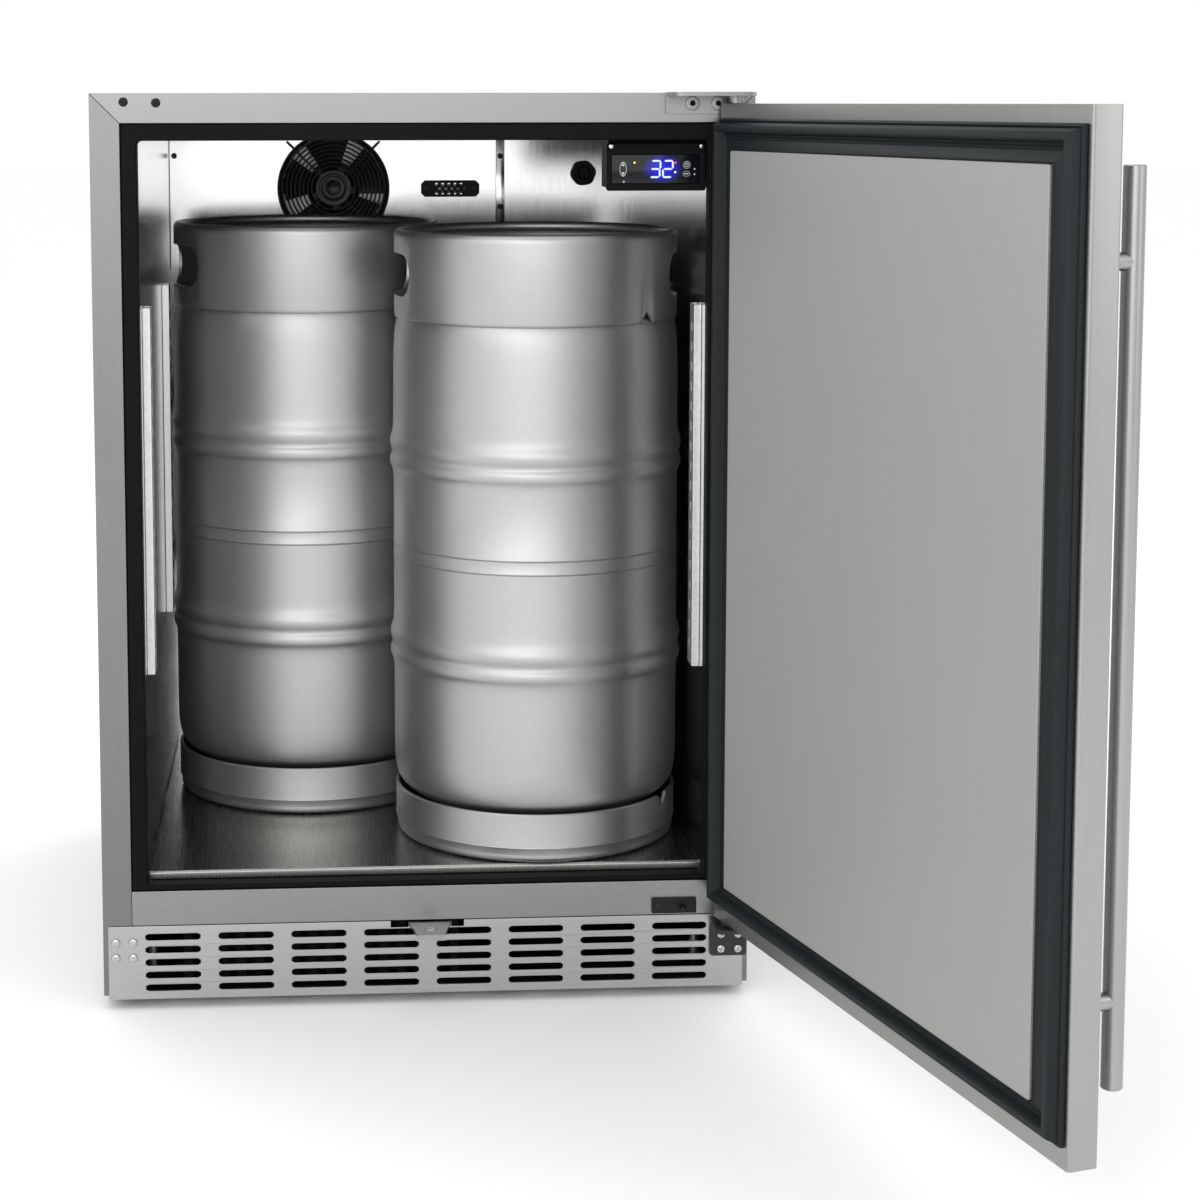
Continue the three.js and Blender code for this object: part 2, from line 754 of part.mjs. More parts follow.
// The top chime: a rolled rim on a wall with two hand holes and drain notches.
function kegCollar(keg) {
  const wall = [
    [137.6, 513], [kegChimeRadius, 518], [kegChimeRadius, 588], [133, kegHeight],
    [129, 594], [129.5, 589], [kegChimeRadius - 2.6, 586], [kegChimeRadius - 2.6, 517],
  ];
  const ring = turned([...wall, wall[0]], kegSegments, [keg.x, keg.y, floorZ + gap]);
  const holes = [0, 180].map((turn) => handHole(keg, turn + keg.turn));
  return cut(ring, holes);
}

function handHole(keg, degrees) {
  const outline = roundedRect(-47, 47, 533, 574, 18);
  const settings = { depth: 60, bevelEnabled: false, curveSegments: 1 };
  const geometry = new THREE.ExtrudeGeometry(outline, settings);
  geometry.applyMatrix4(new THREE.Matrix4().makeBasis(axisY, axisZ, axisX));
  geometry.translate(105, 0, 0);
  geometry.rotateZ(THREE.MathUtils.degToRad(degrees));
  geometry.translate(keg.x, keg.y, floorZ + gap);
  return solidOf(geometry);
}

function kegFootRing(keg) {
  const wall = [
    [131, 0], [136.5, 2.5], [kegChimeRadius, 14], [kegChimeRadius, 47],
    [136.2, 47], [136, 15], [128, 3],
  ];
  return turned([...wall, wall[0]], kegSegments, [keg.x, keg.y, floorZ + gap]);
}

function kegValve(keg) {
  const profile = [
    [0, 540], [26.6, 540], [26.6, 557], [30, 557], [30, 566], [24, 568], [22, 562], [0, 564],
  ];
  return turned(profile, 16, [keg.x, keg.y, floorZ + gap]);
}

// ---- door, drawn shut about its own hinge axis ----
function doorSkin() {
  const plan = roundedRect(doorFreeEdge, doorHingeEdge, doorOuterFace, doorLip, 3);
  const body = prism("z", plan, doorBottom, doorTop);
  const hollow = box(doorFreeEdge + sheet, doorHingeEdge - sheet, doorOuterFace + sheet, doorLip - sheet,
    doorBottom + sheet, doorTop - sheet);
  const mouth = box(doorFreeEdge + doorLipWidth, doorHingeEdge - doorLipWidth, 0, doorLip + 5,
    doorBottom + doorLipWidth, doorTop - doorLipWidth);
  return cut(body, [hollow, mouth, ...doorBores(0)]);
}

// Holes for the hinge bushes, the lock barrel and the lock bolt.
function doorBores(extra) {
  const bush = 6.3 + extra;
  return [
    cylinder(bush, doorBottom - 5, doorBottom + 16, [0, 0, 0], "z", 16),
    cylinder(bush, doorTop - 16, doorTop + 5, [0, 0, 0], "z", 16),
    cylinder(8.3 + extra, doorOuterFace - 5, -6, [lockX, 0, lockZ], "y", 16),
    cylinder(4.8 + extra, doorBottom - 5, lockZ - 9, [lockX, lockBoltY, 0], "z", 16),
  ];
}

function doorCore() {
  const inset = sheet + gap;
  const slab = box(doorFreeEdge + inset, doorHingeEdge - inset, doorOuterFace + inset, doorLip - inset,
    doorBottom + inset, doorTop - inset);
  const raised = box(panelFreeEdge + inset, panelHingeEdge - inset, 0, panelFace - inset,
    panelBottom + inset, panelTop - inset);
  return cut(slab.add(raised), doorBores(0.1));
}

function doorPanel() {
  const plan = [panelFreeEdge, panelHingeEdge, panelBottom, panelTop];
  const tray = prism("y", roundedRect(...plan, 2), doorLip + gap, panelFace, 0.6);
  const hollow = box(panelFreeEdge + sheet, panelHingeEdge - sheet, 0, panelFace - sheet,
    panelBottom + sheet, panelTop - sheet);
  return cut(tray, [hollow]);
}

// A broad flat band with a raised magnetic bead near its outer edge.
function doorGasket() {
  const outer = [gasketFreeEdge, gasketHingeEdge, gasketBottom, gasketTop];
  const inner = [panelFreeEdge - gap, panelHingeEdge + gap, panelBottom - gap, panelTop + gap];
  const band = prism("y", frameShape(outer, inner, 2, 1), doorLip + gap, gasketBand, 1);
  const grow = (rect, by) => [rect[0] + by, rect[1] - by, rect[2] + by, rect[3] - by];
  const bead = frameShape(grow(outer, 5), grow(outer, 18), 3, 3);
  return band.add(prism("y", bead, gasketBand - 2, gasketCrest, 2.5));
}

function handleBar() {
  const profile = [
    [0, handleBottom], [handleRadius - 1.2, handleBottom], [handleRadius, handleBottom + 1.2],
    [handleRadius, handleTop - 1.2], [handleRadius - 1.2, handleTop], [0, handleTop],
  ];
  return turned(profile, 24, [handleOffsetX, handleOffsetY, 0]);
}

function handleStandoff(z) {
  const flare = [[0, 0], [9, 0], [9, -2.5], [standoffRadius, -4], [standoffRadius, -30], [0, -30]];
  const post = turned(flare, 20, [handleOffsetX, doorOuterFace - gap, z], "y");
  const saddle = cylinder(handleRadius + gap, z - 30, z + 30, [handleOffsetX, handleOffsetY, 0]);
  return cut(post, [saddle, box(-600, -500, -90, handleOffsetY + 1, z - 20, z + 20)]);
}

function hingeBush(z, up) {
  const height = 13 * up;
  const ring = [[hingePinRadius + 0.4, 0], [6, 0], [6, height], [hingePinRadius + 0.4, height]];
  return turned([...ring, ring[0]], 16, [0, 0, z]);
}

function lockBarrel() {
  const seat = doorOuterFace - gap;
  const profile = [[0, -8], [8, -8], [8, seat], [10.5, seat], [9.5, -22], [0, -22]];
  const keySlot = box(lockX - 0.8, lockX + 0.8, -25, -19, lockZ - 4.5, lockZ + 4.5);
  return cut(turned(profile, 16, [lockX, 0, lockZ], "y"), [keySlot]);
}

function lockBolt() {
  return cylinder(4.4, doorBottom + 0.6, lockZ - 17.5, [lockX, lockBoltY, 0], "z", 16);
}

// ---- assembly ----
function addCasing() {
  addPart(model, "left_side_panel", sidePanel(-1), brushedSteel);
  addPart(model, "right_side_panel", sidePanel(1), brushedSteel);
  addPart(model, "top_panel", topPanel(), brushedSteel);
  addPart(model, "rear_panel", rearPanel(), galvanised);
  addPart(model, "base_pan", basePan(), galvanised);
  addPart(model, "lower_front_rail", frontRail(), brushedSteel);
  addPart(model, "breaker_frame", breakerFrame(), blackPlastic);
  addPart(model, "kick_plate", kickPlate(), brushedSteel);
  addPart(model, "cord_gland", cordGland(), blackPlastic);
  const names = ["front_left", "front_right", "rear_left", "rear_right"];
  footPlaces().forEach(([x, y], i) => {
    addPart(model, `levelling_foot_${names[i]}`, levellingFoot(x, y), galvanised);
  });
}

function addInsulatedBox() {
  addPart(model, "liner_left", linerSide(-1), polishedSteel);
  addPart(model, "liner_right", linerSide(1), polishedSteel);
  addPart(model, "liner_top", linerTop(), polishedSteel);
  addPart(model, "liner_back", linerBack(), polishedSteel);
  addPart(model, "floor_pan", floorPan(), satinSteel);
  addPart(model, "insulation", insulation(), foam);
  for (const [place, front] of [["front", 40], ["rear", 330]]) {
    addPart(model, `shelf_standard_${place}_left`, shelfStandard(-1, front), aluminium);
    addPart(model, `shelf_standard_${place}_right`, shelfStandard(1, front), aluminium);
  }
}

function addCooling() {
  addPart(model, "evaporator_cover", evaporatorCover(), polishedSteel);
  addPart(model, "evaporator_coil", evaporatorCoil(), aluminium);
  addPart(model, "fan_guard", fanGuard(), blackMetal);
  addPart(model, "fan_motor", fanMotor(), blackMetal);
  addPart(model, "fan_rotor", bladedRotor([fanX, rotorY, fanZ], fanRadius, 17, 15, 5), blackPlastic);
  addPart(model, "vent_plate", ventPlate(), blackPlastic);
  addPart(model, "line_grommet", lineGrommet(), blackPlastic);
  addPart(model, "compressor", compressor(), blackMetal);
  addPart(model, "condenser_coil", condenserCoil(), aluminium);
  addPart(model, "condenser_fan_shroud", condenserShroud(), blackPlastic);
  addPart(model, "condenser_fan_rotor", bladedRotor([-100, 59, 51], 29.5, 9, 11, 5), blackPlastic);
}

function addFittings() {
  addPart(model, "controller_housing", controllerHousing(), blackPlastic);
  addPart(model, "controller_window", controllerWindow(), darkGlass);
  addPart(model, "top_hinge_bracket", topHinge(), polishedSteel);
  addPart(model, "lower_hinge_bracket", lowerHinge(), blackMetal);
  addPart(model, "door_switch_housing", switchHousing(), blackPlastic);
  addPart(model, "door_switch_plunger", switchPlunger(), blackPlastic);
  addPart(model, "lock_strike", lockStrike(), brushedSteel);
}

function addKeg(keg) {
  addPart(model, `${keg.name}_shell`, kegShell(keg), satinSteel);
  addPart(model, `${keg.name}_collar`, kegCollar(keg), satinSteel);
  addPart(model, `${keg.name}_foot_ring`, kegFootRing(keg), satinSteel);
  addPart(model, `${keg.name}_valve`, kegValve(keg), satinSteel);
}

function addDoor() {
  const door = new THREE.Group();
  door.position.set(hingeX, hingeY, 0);
  door.rotation.z = THREE.MathUtils.degToRad(doorAngle);
  model.add(door);
  addPart(door, "door_skin", doorSkin(), brushedSteel);
  addPart(door, "door_core", doorCore(), foam);
  addPart(door, "door_liner", doorPanel(), brushedSteel);
  addPart(door, "door_gasket", doorGasket(), gasketRubber);
  addPart(door, "handle_bar", handleBar(), brushedSteel);
  for (const [place, z] of Object.entries(standoffHeights)) {
    addPart(door, `handle_standoff_${place}`, handleStandoff(z), brushedSteel);
  }
  addPart(door, "hinge_bush_lower", hingeBush(doorBottom, 1), blackPlastic);
  addPart(door, "hinge_bush_upper", hingeBush(doorTop, -1), blackPlastic);
  addPart(door, "lock_barrel", lockBarrel(), polishedSteel);
  addPart(door, "lock_bolt", lockBolt(), satinSteel);
}

addCasing();
addInsulatedBox();
addCooling();
addFittings();
addKeg(frontKeg);
addKeg(rearKeg);
addDoor();

export default model;
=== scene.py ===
import json
import math
import bpy
from mathutils import Matrix, Vector


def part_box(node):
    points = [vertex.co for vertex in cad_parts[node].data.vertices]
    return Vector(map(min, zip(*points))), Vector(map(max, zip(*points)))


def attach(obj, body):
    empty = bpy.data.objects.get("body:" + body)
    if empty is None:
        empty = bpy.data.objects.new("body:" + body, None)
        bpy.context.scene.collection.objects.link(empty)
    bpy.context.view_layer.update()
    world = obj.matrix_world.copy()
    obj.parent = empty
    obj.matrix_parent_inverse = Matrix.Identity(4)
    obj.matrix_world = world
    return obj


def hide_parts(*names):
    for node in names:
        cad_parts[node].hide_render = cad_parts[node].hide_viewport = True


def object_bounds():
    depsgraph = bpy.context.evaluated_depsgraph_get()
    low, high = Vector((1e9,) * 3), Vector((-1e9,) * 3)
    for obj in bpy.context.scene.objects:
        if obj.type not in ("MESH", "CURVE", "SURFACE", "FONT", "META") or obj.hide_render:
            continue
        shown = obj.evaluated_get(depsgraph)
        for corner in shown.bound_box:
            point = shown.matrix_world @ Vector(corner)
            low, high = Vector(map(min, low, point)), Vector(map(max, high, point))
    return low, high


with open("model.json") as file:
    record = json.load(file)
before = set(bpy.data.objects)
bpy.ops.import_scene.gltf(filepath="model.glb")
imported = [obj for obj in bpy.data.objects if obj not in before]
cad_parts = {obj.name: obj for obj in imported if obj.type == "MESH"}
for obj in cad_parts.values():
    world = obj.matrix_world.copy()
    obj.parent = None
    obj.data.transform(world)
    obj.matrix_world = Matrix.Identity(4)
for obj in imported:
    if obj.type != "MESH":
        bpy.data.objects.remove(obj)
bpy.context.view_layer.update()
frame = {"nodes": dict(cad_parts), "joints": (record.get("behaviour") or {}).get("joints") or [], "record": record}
nodes = frame["nodes"]
print("frame loaded:", len(nodes), "nodes")

mm = 0.001  # sizes below are in millimetres
mergeDistance, nearby = 1e-6, 1e-5  # in metres


# small hand tools
def deselectAll():
    for item in list(bpy.context.selected_objects):
        item.select_set(False)


def pick(*items):
    deselectAll()
    for item in items:
        item.select_set(True)
    bpy.context.view_layer.objects.active = items[0]


def editing(piece, how="FACE", action="DESELECT"):
    # action says whether all or nothing is selected at first
    pick(piece)
    bpy.ops.object.mode_set(mode="EDIT")
    bpy.ops.mesh.select_mode(type=how)
    bpy.ops.mesh.select_all(action=action)


def leaveEdit():
    bpy.ops.object.mode_set(mode="OBJECT")


def selectWhere(piece, kind, test):
    # kind is vertices, edges or polygons; test gets the element's middle
    leaveEdit()
    mesh = piece.data
    for group in (mesh.vertices, mesh.edges, mesh.polygons):
        for element in group:
            element.select = False
    for element in getattr(mesh, kind):
        if kind == "vertices":
            middle = element.co
        elif kind == "edges":
            middle = sum((mesh.vertices[end].co for end in element.vertices), Vector()) / 2
        else:
            middle = element.center
        element.select = bool(test(middle))
    bpy.ops.object.mode_set(mode="EDIT")


def turned(degrees, axis):
    return Matrix.Rotation(math.radians(degrees), 4, axis)


def moved(to):
    return Matrix.Translation(Vector(to) * mm)


def settle(piece):
    # the place goes into the mesh, so the object stands at the origin
    pick(piece)
    bpy.ops.object.transform_apply(location=True, rotation=True, scale=True)


def place(piece, matrix):
    settle(piece)
    piece.matrix_world = matrix
    settle(piece)


def applyModifier(piece, kind, **settings):
    modifier = piece.modifiers.new(kind.lower(), kind)
    for name, value in settings.items():
        setattr(modifier, name, value)
    pick(piece)
    bpy.ops.object.modifier_apply(modifier=modifier.name)


def roundEdges(piece, width, angle, segments=2):
    applyModifier(
        piece, "BEVEL", width=width * mm, segments=segments, limit_method="ANGLE",
        angle_limit=math.radians(angle), use_clamp_overlap=True, miter_outer="MITER_ARC",
    )


def smooth(piece, angle):
    pick(piece)
    bpy.ops.object.shade_smooth_by_angle(angle=math.radians(angle))


def cleanUp(piece):
    editing(piece, "VERT", "SELECT")
    bpy.ops.mesh.remove_doubles(threshold=mergeDistance)
    bpy.ops.mesh.normals_make_consistent(inside=False)
    leaveEdit()


def joinAll(pieces, name):
    pick(*pieces)
    bpy.ops.object.join()
    joined = bpy.context.view_layer.objects.active
    joined.name = name
    return joined


def copyOf(piece, name):
    copy = piece.copy()
    copy.data = piece.data.copy()
    copy.name = name
    bpy.context.scene.collection.objects.link(copy)
    return copy


def dress(piece, material, body, stands=()):
    piece.data.materials.clear()
    piece.data.materials.append(material)
    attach(piece, body)
    if stands:
        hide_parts(*stands)
    return piece


def addBlock(name, low, high, width, segments=2):
    # a block between two corners with its edges eased
    low, high = Vector(low) * mm, Vector(high) * mm
    deselectAll()
    bpy.ops.mesh.primitive_cube_add(size=1, location=(low + high) / 2)
    block = bpy.context.object
    block.name = name
    block.scale = high - low
    settle(block)
    editing(block, action="SELECT")
    bpy.ops.mesh.bevel(offset=width * mm, segments=segments)
    leaveEdit()
    return block


def addTurned(name, profile, steps, centre=(0, 0, 0), front=False):
    # one point is pulled along the profile of (radius, height), then spun round the axis;
    # front turns the axis level, so that the profile's top faces the front
    deselectAll()
    bpy.ops.mesh.primitive_plane_add(size=mm)
    piece = bpy.context.object
    piece.name = name
    editing(piece, "VERT", "SELECT")
    bpy.ops.mesh.merge(type="CENTER")
    bpy.ops.mesh.select_all(action="SELECT")
    here = Vector((profile[0][0], 0, profile[0][1])) * mm
    bpy.ops.transform.translate(value=here)
    for radius, height in profile[1:]:
        there = Vector((radius, 0, height)) * mm
        bpy.ops.mesh.extrude_region_move(TRANSFORM_OT_translate={"value": there - here})
        here = there
    bpy.ops.mesh.select_all(action="SELECT")
    bpy.ops.mesh.spin(steps=steps, angle=math.tau, center=(0, 0, 0), axis=(0, 0, 1))
    leaveEdit()
    cleanUp(piece)
    place(piece, moved(centre) @ (turned(90, "X") if front else Matrix()))
    return piece


def softened(points, rounds=2):
    # cuts the corners of a profile, so that a hoop or a dish flows
    for _ in range(rounds):
        cut = [points[0]]
        for start, end in zip(points, points[1:]):
            for share in (0.25, 0.75):
                cut.append([near * (1 - share) + far * share for near, far in zip(start, end)])
        cut.append(points[-1])
        points = cut
    return points


def cutAway(piece, cutter):
    applyModifier(piece, "BOOLEAN", object=cutter, operation="DIFFERENCE", solver="EXACT")
    bpy.data.objects.remove(cutter, do_unlink=True)


def middleOf(node):
    low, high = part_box(node)
    return (low + high) / 2 / mm


def lowOf(node):
    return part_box(node)[0] / mm


def highOf(node):
    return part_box(node)[1] / mm


# the door stands open: its pieces are drawn shut, then swung with it
hinge = next(joint for joint in frame["joints"] if joint["name"] == "door_hinge")
hingePlace = Vector(hinge["pos_m"])
swing = Matrix.Translation((hingePlace.x, hingePlace.y, 0)) @ turned(-min(hinge["range_deg"]), "Z")


# materials
def newMaterial(name):
    material = bpy.data.materials.new(name)
    material.use_nodes = True
    tree = material.node_tree
    shader = tree.nodes["Principled BSDF"]
    return material, tree, shader


def addNode(tree, kind, inputs=None, **settings):
    node = tree.nodes.new(kind)
    for name, value in settings.items():
        setattr(node, name, value)
    for name, value in (inputs or {}).items():
        node.inputs[name].default_value = value
    return node


def objectCoordinates(tree, scale=(1, 1, 1), shift=(0, 0, 0)):
    coordinates = addNode(tree, "ShaderNodeTexCoord")
    mapping = addNode(tree, "ShaderNodeMapping", {"Scale": scale, "Location": shift})
    tree.links.new(coordinates.outputs["Object"], mapping.inputs["Vector"])
    return mapping.outputs["Vector"]


def noise(tree, vector, scale, detail, roughness=0.55):
    node = addNode(tree, "ShaderNodeTexNoise", {"Scale": scale, "Detail": detail, "Roughness": roughness})
    tree.links.new(vector, node.inputs["Vector"])
    return node.outputs["Fac"]


def spread(tree, value, low, high, fromLow=0.3, fromHigh=0.7):
    # a noise mostly lies between 0.3 and 0.7, which becomes low to high
    node = addNode(tree, "ShaderNodeMapRange", {
        "From Min": fromLow, "From Max": fromHigh, "To Min": low, "To Max": high})
    tree.links.new(value, node.inputs["Value"])
    return node.outputs["Result"]


def blendColours(tree, value, dark, light):
    node = addNode(tree, "ShaderNodeMix", data_type="RGBA")
    node.inputs["A"].default_value = (*dark, 1)
    node.inputs["B"].default_value = (*light, 1)
    tree.links.new(value, node.inputs["Factor"])
    return node.outputs["Result"]


def mixed(tree, first, second, share):
    node = addNode(tree, "ShaderNodeMix", data_type="FLOAT")
    node.inputs["Factor"].default_value = share
    tree.links.new(first, node.inputs["A"])
    tree.links.new(second, node.inputs["B"])
    return node.outputs["Result"]


def bumped(tree, shader, value, strength, distance):
    bump = addNode(tree, "ShaderNodeBump", {"Strength": strength, "Distance": distance})
    tree.links.new(value, bump.inputs["Height"])
    tree.links.new(bump.outputs["Normal"], shader.inputs["Normal"])


scratchDepth, grainDepth = 0.0002, 0.0003  # in metres, at full bump
brushed = {"rough": (0.28, 0.38), "bump": 0.10, "smudge": 2.2}
steelLooks = {
    # grain is how fast the scratches change along x, y and z; smudge is the scale of the clouds
    "upright": {**brushed, "grain": (900, 900, 14), "dark": (0.18, 0.18, 0.178),
                "light": (0.22, 0.22, 0.217)},
    "level": {**brushed, "grain": (14, 900, 900), "dark": (0.21, 0.213, 0.215),
              "light": (0.26, 0.263, 0.265)},
    "deep": {**brushed, "grain": (900, 14, 900), "dark": (0.34, 0.34, 0.335), "light": (0.42, 0.42, 0.415)},
    "frontLevel": {**brushed, "grain": (14, 900, 900), "dark": (0.25, 0.25, 0.25),
                   "light": (0.31, 0.31, 0.31)},
    # toe is the frontLevel steel made lighter, a lit copy: its extra brightness on the toe plate is painted light
    "toe": {**brushed, "grain": (14, 900, 900), "dark": (0.40, 0.40, 0.40), "light": (0.48, 0.48, 0.48),
            "rough": (0.30, 0.40), "bump": 0.08},
    "doorSkin": {**brushed, "grain": (900, 900, 14), "dark": (0.33, 0.33, 0.323),
                 "light": (0.385, 0.385, 0.377), "bump": 0.08},
    "doorSheet": {"grain": (700, 700, 9), "dark": (0.32, 0.32, 0.313), "light": (0.355, 0.355, 0.347),
                  "rough": (0.50, 0.58), "bump": 0.03, "smudge": 1.6, "metal": 0.3},
    "bright": {"grain": (600, 600, 40), "dark": (0.48, 0.48, 0.475), "light": (0.57, 0.57, 0.565),
               "rough": (0.12, 0.20), "bump": 0.03, "smudge": 3.0},
    "floor": {"grain": (700, 10, 700), "dark": (0.34, 0.335, 0.325), "light": (0.40, 0.395, 0.38),
              "rough": (0.26, 0.29), "bump": 0.004, "smudge": 5.0},
    "keg": {"grain": (420, 420, 300), "dark": (0.42, 0.417, 0.412), "light": (0.49, 0.486, 0.48),
            "rough": (0.40, 0.48), "bump": 0.08, "smudge": 7.0},
}


def steel(name, look):
    material, tree, shader = newMaterial(name)
    scratches = noise(tree, objectCoordinates(tree, look["grain"]), scale=1, detail=5, roughness=0.7)
    clouds = noise(tree, objectCoordinates(tree), look["smudge"], detail=5, roughness=0.6)
    both = mixed(tree, scratches, clouds, share=0.35)
    tree.links.new(blendColours(tree, spread(tree, both, 0, 1), look["dark"], look["light"]),
                   shader.inputs["Base Color"])
    tree.links.new(spread(tree, both, *look["rough"]), shader.inputs["Roughness"])
    shader.inputs["Metallic"].default_value = look.get("metal", 1)
    bumped(tree, shader, scratches, look["bump"], scratchDepth)
    return material


plainLooks = {
    "blackPlastic": {"dark": (0.004, 0.004, 0.0045), "light": (0.010, 0.010, 0.011), "rough": (0.42, 0.56),
                     "scale": 900, "bump": 0.15, "metal": 0, "gloss": 0.25},
    "blackPaint": {"dark": (0.010, 0.010, 0.010), "light": (0.022, 0.022, 0.022), "rough": (0.30, 0.42),
                   "scale": 500, "bump": 0.12, "metal": 0, "gloss": 0.4},
    "breaker": {"dark": (0.004, 0.004, 0.004), "light": (0.008, 0.008, 0.008), "rough": (0.45, 0.6),
                "scale": 600, "bump": 0.08, "metal": 0, "gloss": 0.05},
    "shadowPaint": {"dark": (0.004, 0.004, 0.004), "light": (0.009, 0.009, 0.009), "rough": (0.5, 0.7),
                    "scale": 300, "bump": 0.12, "metal": 0, "gloss": 0.06},
    "gasket": {"dark": (0.008, 0.011, 0.012), "light": (0.014, 0.018, 0.020), "rough": (0.42, 0.56),
               "scale": 350, "bump": 0.08, "metal": 0, "gloss": 0.18},
    "foam": {"dark": (0.60, 0.50, 0.28), "light": (0.76, 0.67, 0.42), "rough": (0.8, 0.95),
             "scale": 260, "bump": 0.6, "metal": 0},
    "zinc": {"dark": (0.43, 0.44, 0.45), "light": (0.54, 0.55, 0.56), "rough": (0.36, 0.46),
             "scale": 60, "bump": 0.04, "metal": 0.95},
    "aluminium": {"dark": (0.62, 0.63, 0.64), "light": (0.80, 0.81, 0.82), "rough": (0.30, 0.42),
                  "scale": 220, "bump": 0.06, "metal": 0.85},
    "window": {"dark": (0.004, 0.005, 0.007), "light": (0.008, 0.009, 0.012), "rough": (0.06, 0.14),
               "scale": 40, "bump": 0.01, "metal": 0, "gloss": 0.22},
}


def plain(name, look):
    material, tree, shader = newMaterial(name)
    vector = objectCoordinates(tree)
    grain = noise(tree, vector, look["scale"], detail=3)
    clouds = noise(tree, vector, scale=9, detail=4)
    both = mixed(tree, grain, clouds, share=0.4)
    tree.links.new(blendColours(tree, spread(tree, both, 0, 1), look["dark"], look["light"]),
                   shader.inputs["Base Color"])
    tree.links.new(spread(tree, both, *look["rough"]), shader.inputs["Roughness"])
    shader.inputs["Metallic"].default_value = look["metal"]
    shader.inputs["Specular IOR Level"].default_value = look.get("gloss", 0.5)
    bumped(tree, shader, grain, look["bump"], grainDepth)
    return material


def lamp(name, colour, strength):
    material, tree, shader = newMaterial(name)
    speckle = noise(tree, objectCoordinates(tree), scale=1500, detail=2)
    shader.inputs["Base Color"].default_value = (*[channel * 0.5 for channel in colour], 1)
    dimmed = [channel * 0.85 for channel in colour]
    tree.links.new(blendColours(tree, speckle, dimmed, colour), shader.inputs["Emission Color"])
    shader.inputs["Emission Strength"].default_value = strength
    shader.inputs["Roughness"].default_value = 0.3
    return material


steels = {name: steel(name + "Steel", look) for name, look in steelLooks.items()}
plains = {name: plain(name, look) for name, look in plainLooks.items()}
lamps = {
    "digits": lamp("digitBlue", (0.42, 0.46, 1.0), 1.5),
    "red": lamp("ledRed", (1.0, 0.03, 0.02), 4),
    "amber": lamp("ledAmber", (1.0, 0.62, 0.05), 3),
    # the white print is no lamp: its faint glow is a painted highlight that keeps it bright on the dark window
    "print": lamp("whitePrint", (0.75, 0.78, 0.80), 0.35),
}
print("materials made:", len(steels) + len(plains) + len(lamps))

# sheets with many holes keep all their edges, because their long faces would be lost in a clean-up
perforated = ("kick_plate", "vent_plate", "rear_panel", "shelf_standard", "top_hinge_bracket")
# what each carried-over node is made of, and how much its edges are eased; a name stands for
# every node that begins with it
finishes = {
    "left_side_panel": (steels["upright"], 0.5),
    "right_side_panel": (steels["upright"], 0.5),
    "top_panel": (steels["level"], 0.5),
    "rear_panel": (plains["zinc"], 0.3),
    "base_pan": (plains["shadowPaint"], 0),
    "lower_front_rail": (steels["frontLevel"], 0.5),
    "breaker_frame": (plains["breaker"], 0.5),
    "kick_plate": (steels["toe"], 0.35),
    "levelling_foot": (plains["zinc"], 0.5),
    "cord_gland": (plains["blackPlastic"], 0.6),
    "liner": (steels["bright"], 0),
    "floor_pan": (steels["floor"], 0.5),
    "insulation": (plains["foam"], 0),
    "shelf_standard": (plains["aluminium"], 0.4),
    "evaporator_cover": (steels["bright"], 0.5),
    "evaporator_coil": (plains["aluminium"], 0),
    "fan_motor": (plains["blackPaint"], 0.6),
    "fan_rotor": (plains["blackPlastic"], 0.3),
    "vent_plate": (plains["blackPlastic"], 0.3),
    "compressor": (plains["blackPaint"], 1.0),
    "condenser_coil": (plains["shadowPaint"], 0),
    "condenser_fan_shroud": (plains["shadowPaint"], 0.4),
    "condenser_fan_rotor": (plains["shadowPaint"], 0.3),
    "controller_housing": (plains["breaker"], 0.6),
    "top_hinge_bracket": (steels["level"], 0.5),
    "lower_hinge_bracket": (plains["blackPaint"], 0.6),
    "door_switch": (plains["blackPlastic"], 0.3),
    "lock_strike": (steels["deep"], 0.4),
    "door_skin": (steels["doorSkin"], 0.8),
    "door_core": (plains["foam"], 0),
    "door_liner": (steels["doorSheet"], 0.8),
    "hinge_bush": (plains["blackPlastic"], 0),
    "lock_barrel": (steels["bright"], 0.4),
    "lock_bolt": (steels["keg"], 0.6),
}
bodies = frame["record"]["behaviour"]["bodies"]
bodyOf = {node: body for body, members in bodies.items() for node in members}


def finishFor(node):
    # the longest name that fits wins, and a node with none gets a new piece further down
    fitting = [key for key in finishes if node.startswith(key)]
    return finishes[max(fitting, key=len)] if fitting else None


easing = {"flat": 0.5, "sharp": 28, "smooth": 30}  # degrees between two faces


def easedCopy(node, material, width):
    # a merged copy of the node with its sharp edges eased, so that they catch the light
    copy = copyOf(nodes[node], node + "_eased")
    for key in list(copy.keys()):  # what ties the node to the frame is not copied
        del copy[key]
    copy.parent = None
    copy.matrix_world = Matrix()
    pick(copy)
    bpy.ops.mesh.customdata_custom_splitnormals_clear()
    editing(copy, "VERT", "SELECT")
    bpy.ops.mesh.remove_doubles(threshold=mergeDistance)
    if not node.startswith(perforated):
        bpy.ops.mesh.dissolve_limited(angle_limit=math.radians(easing["flat"]))
    leaveEdit()
    roundEdges(copy, width, easing["sharp"])
    smooth(copy, easing["smooth"])
    applyModifier(copy, "WEIGHTED_NORMAL", keep_sharp=True)
    return dress(copy, material, bodyOf[node], [node])


for node in sorted(nodes):
    finish = finishFor(node)
    if finish is None:
        continue
    material, width = finish
    nodes[node].data.materials.clear()
    nodes[node].data.materials.append(material)
    if width:
        easedCopy(node, material, width)
print("carried-over nodes dressed")

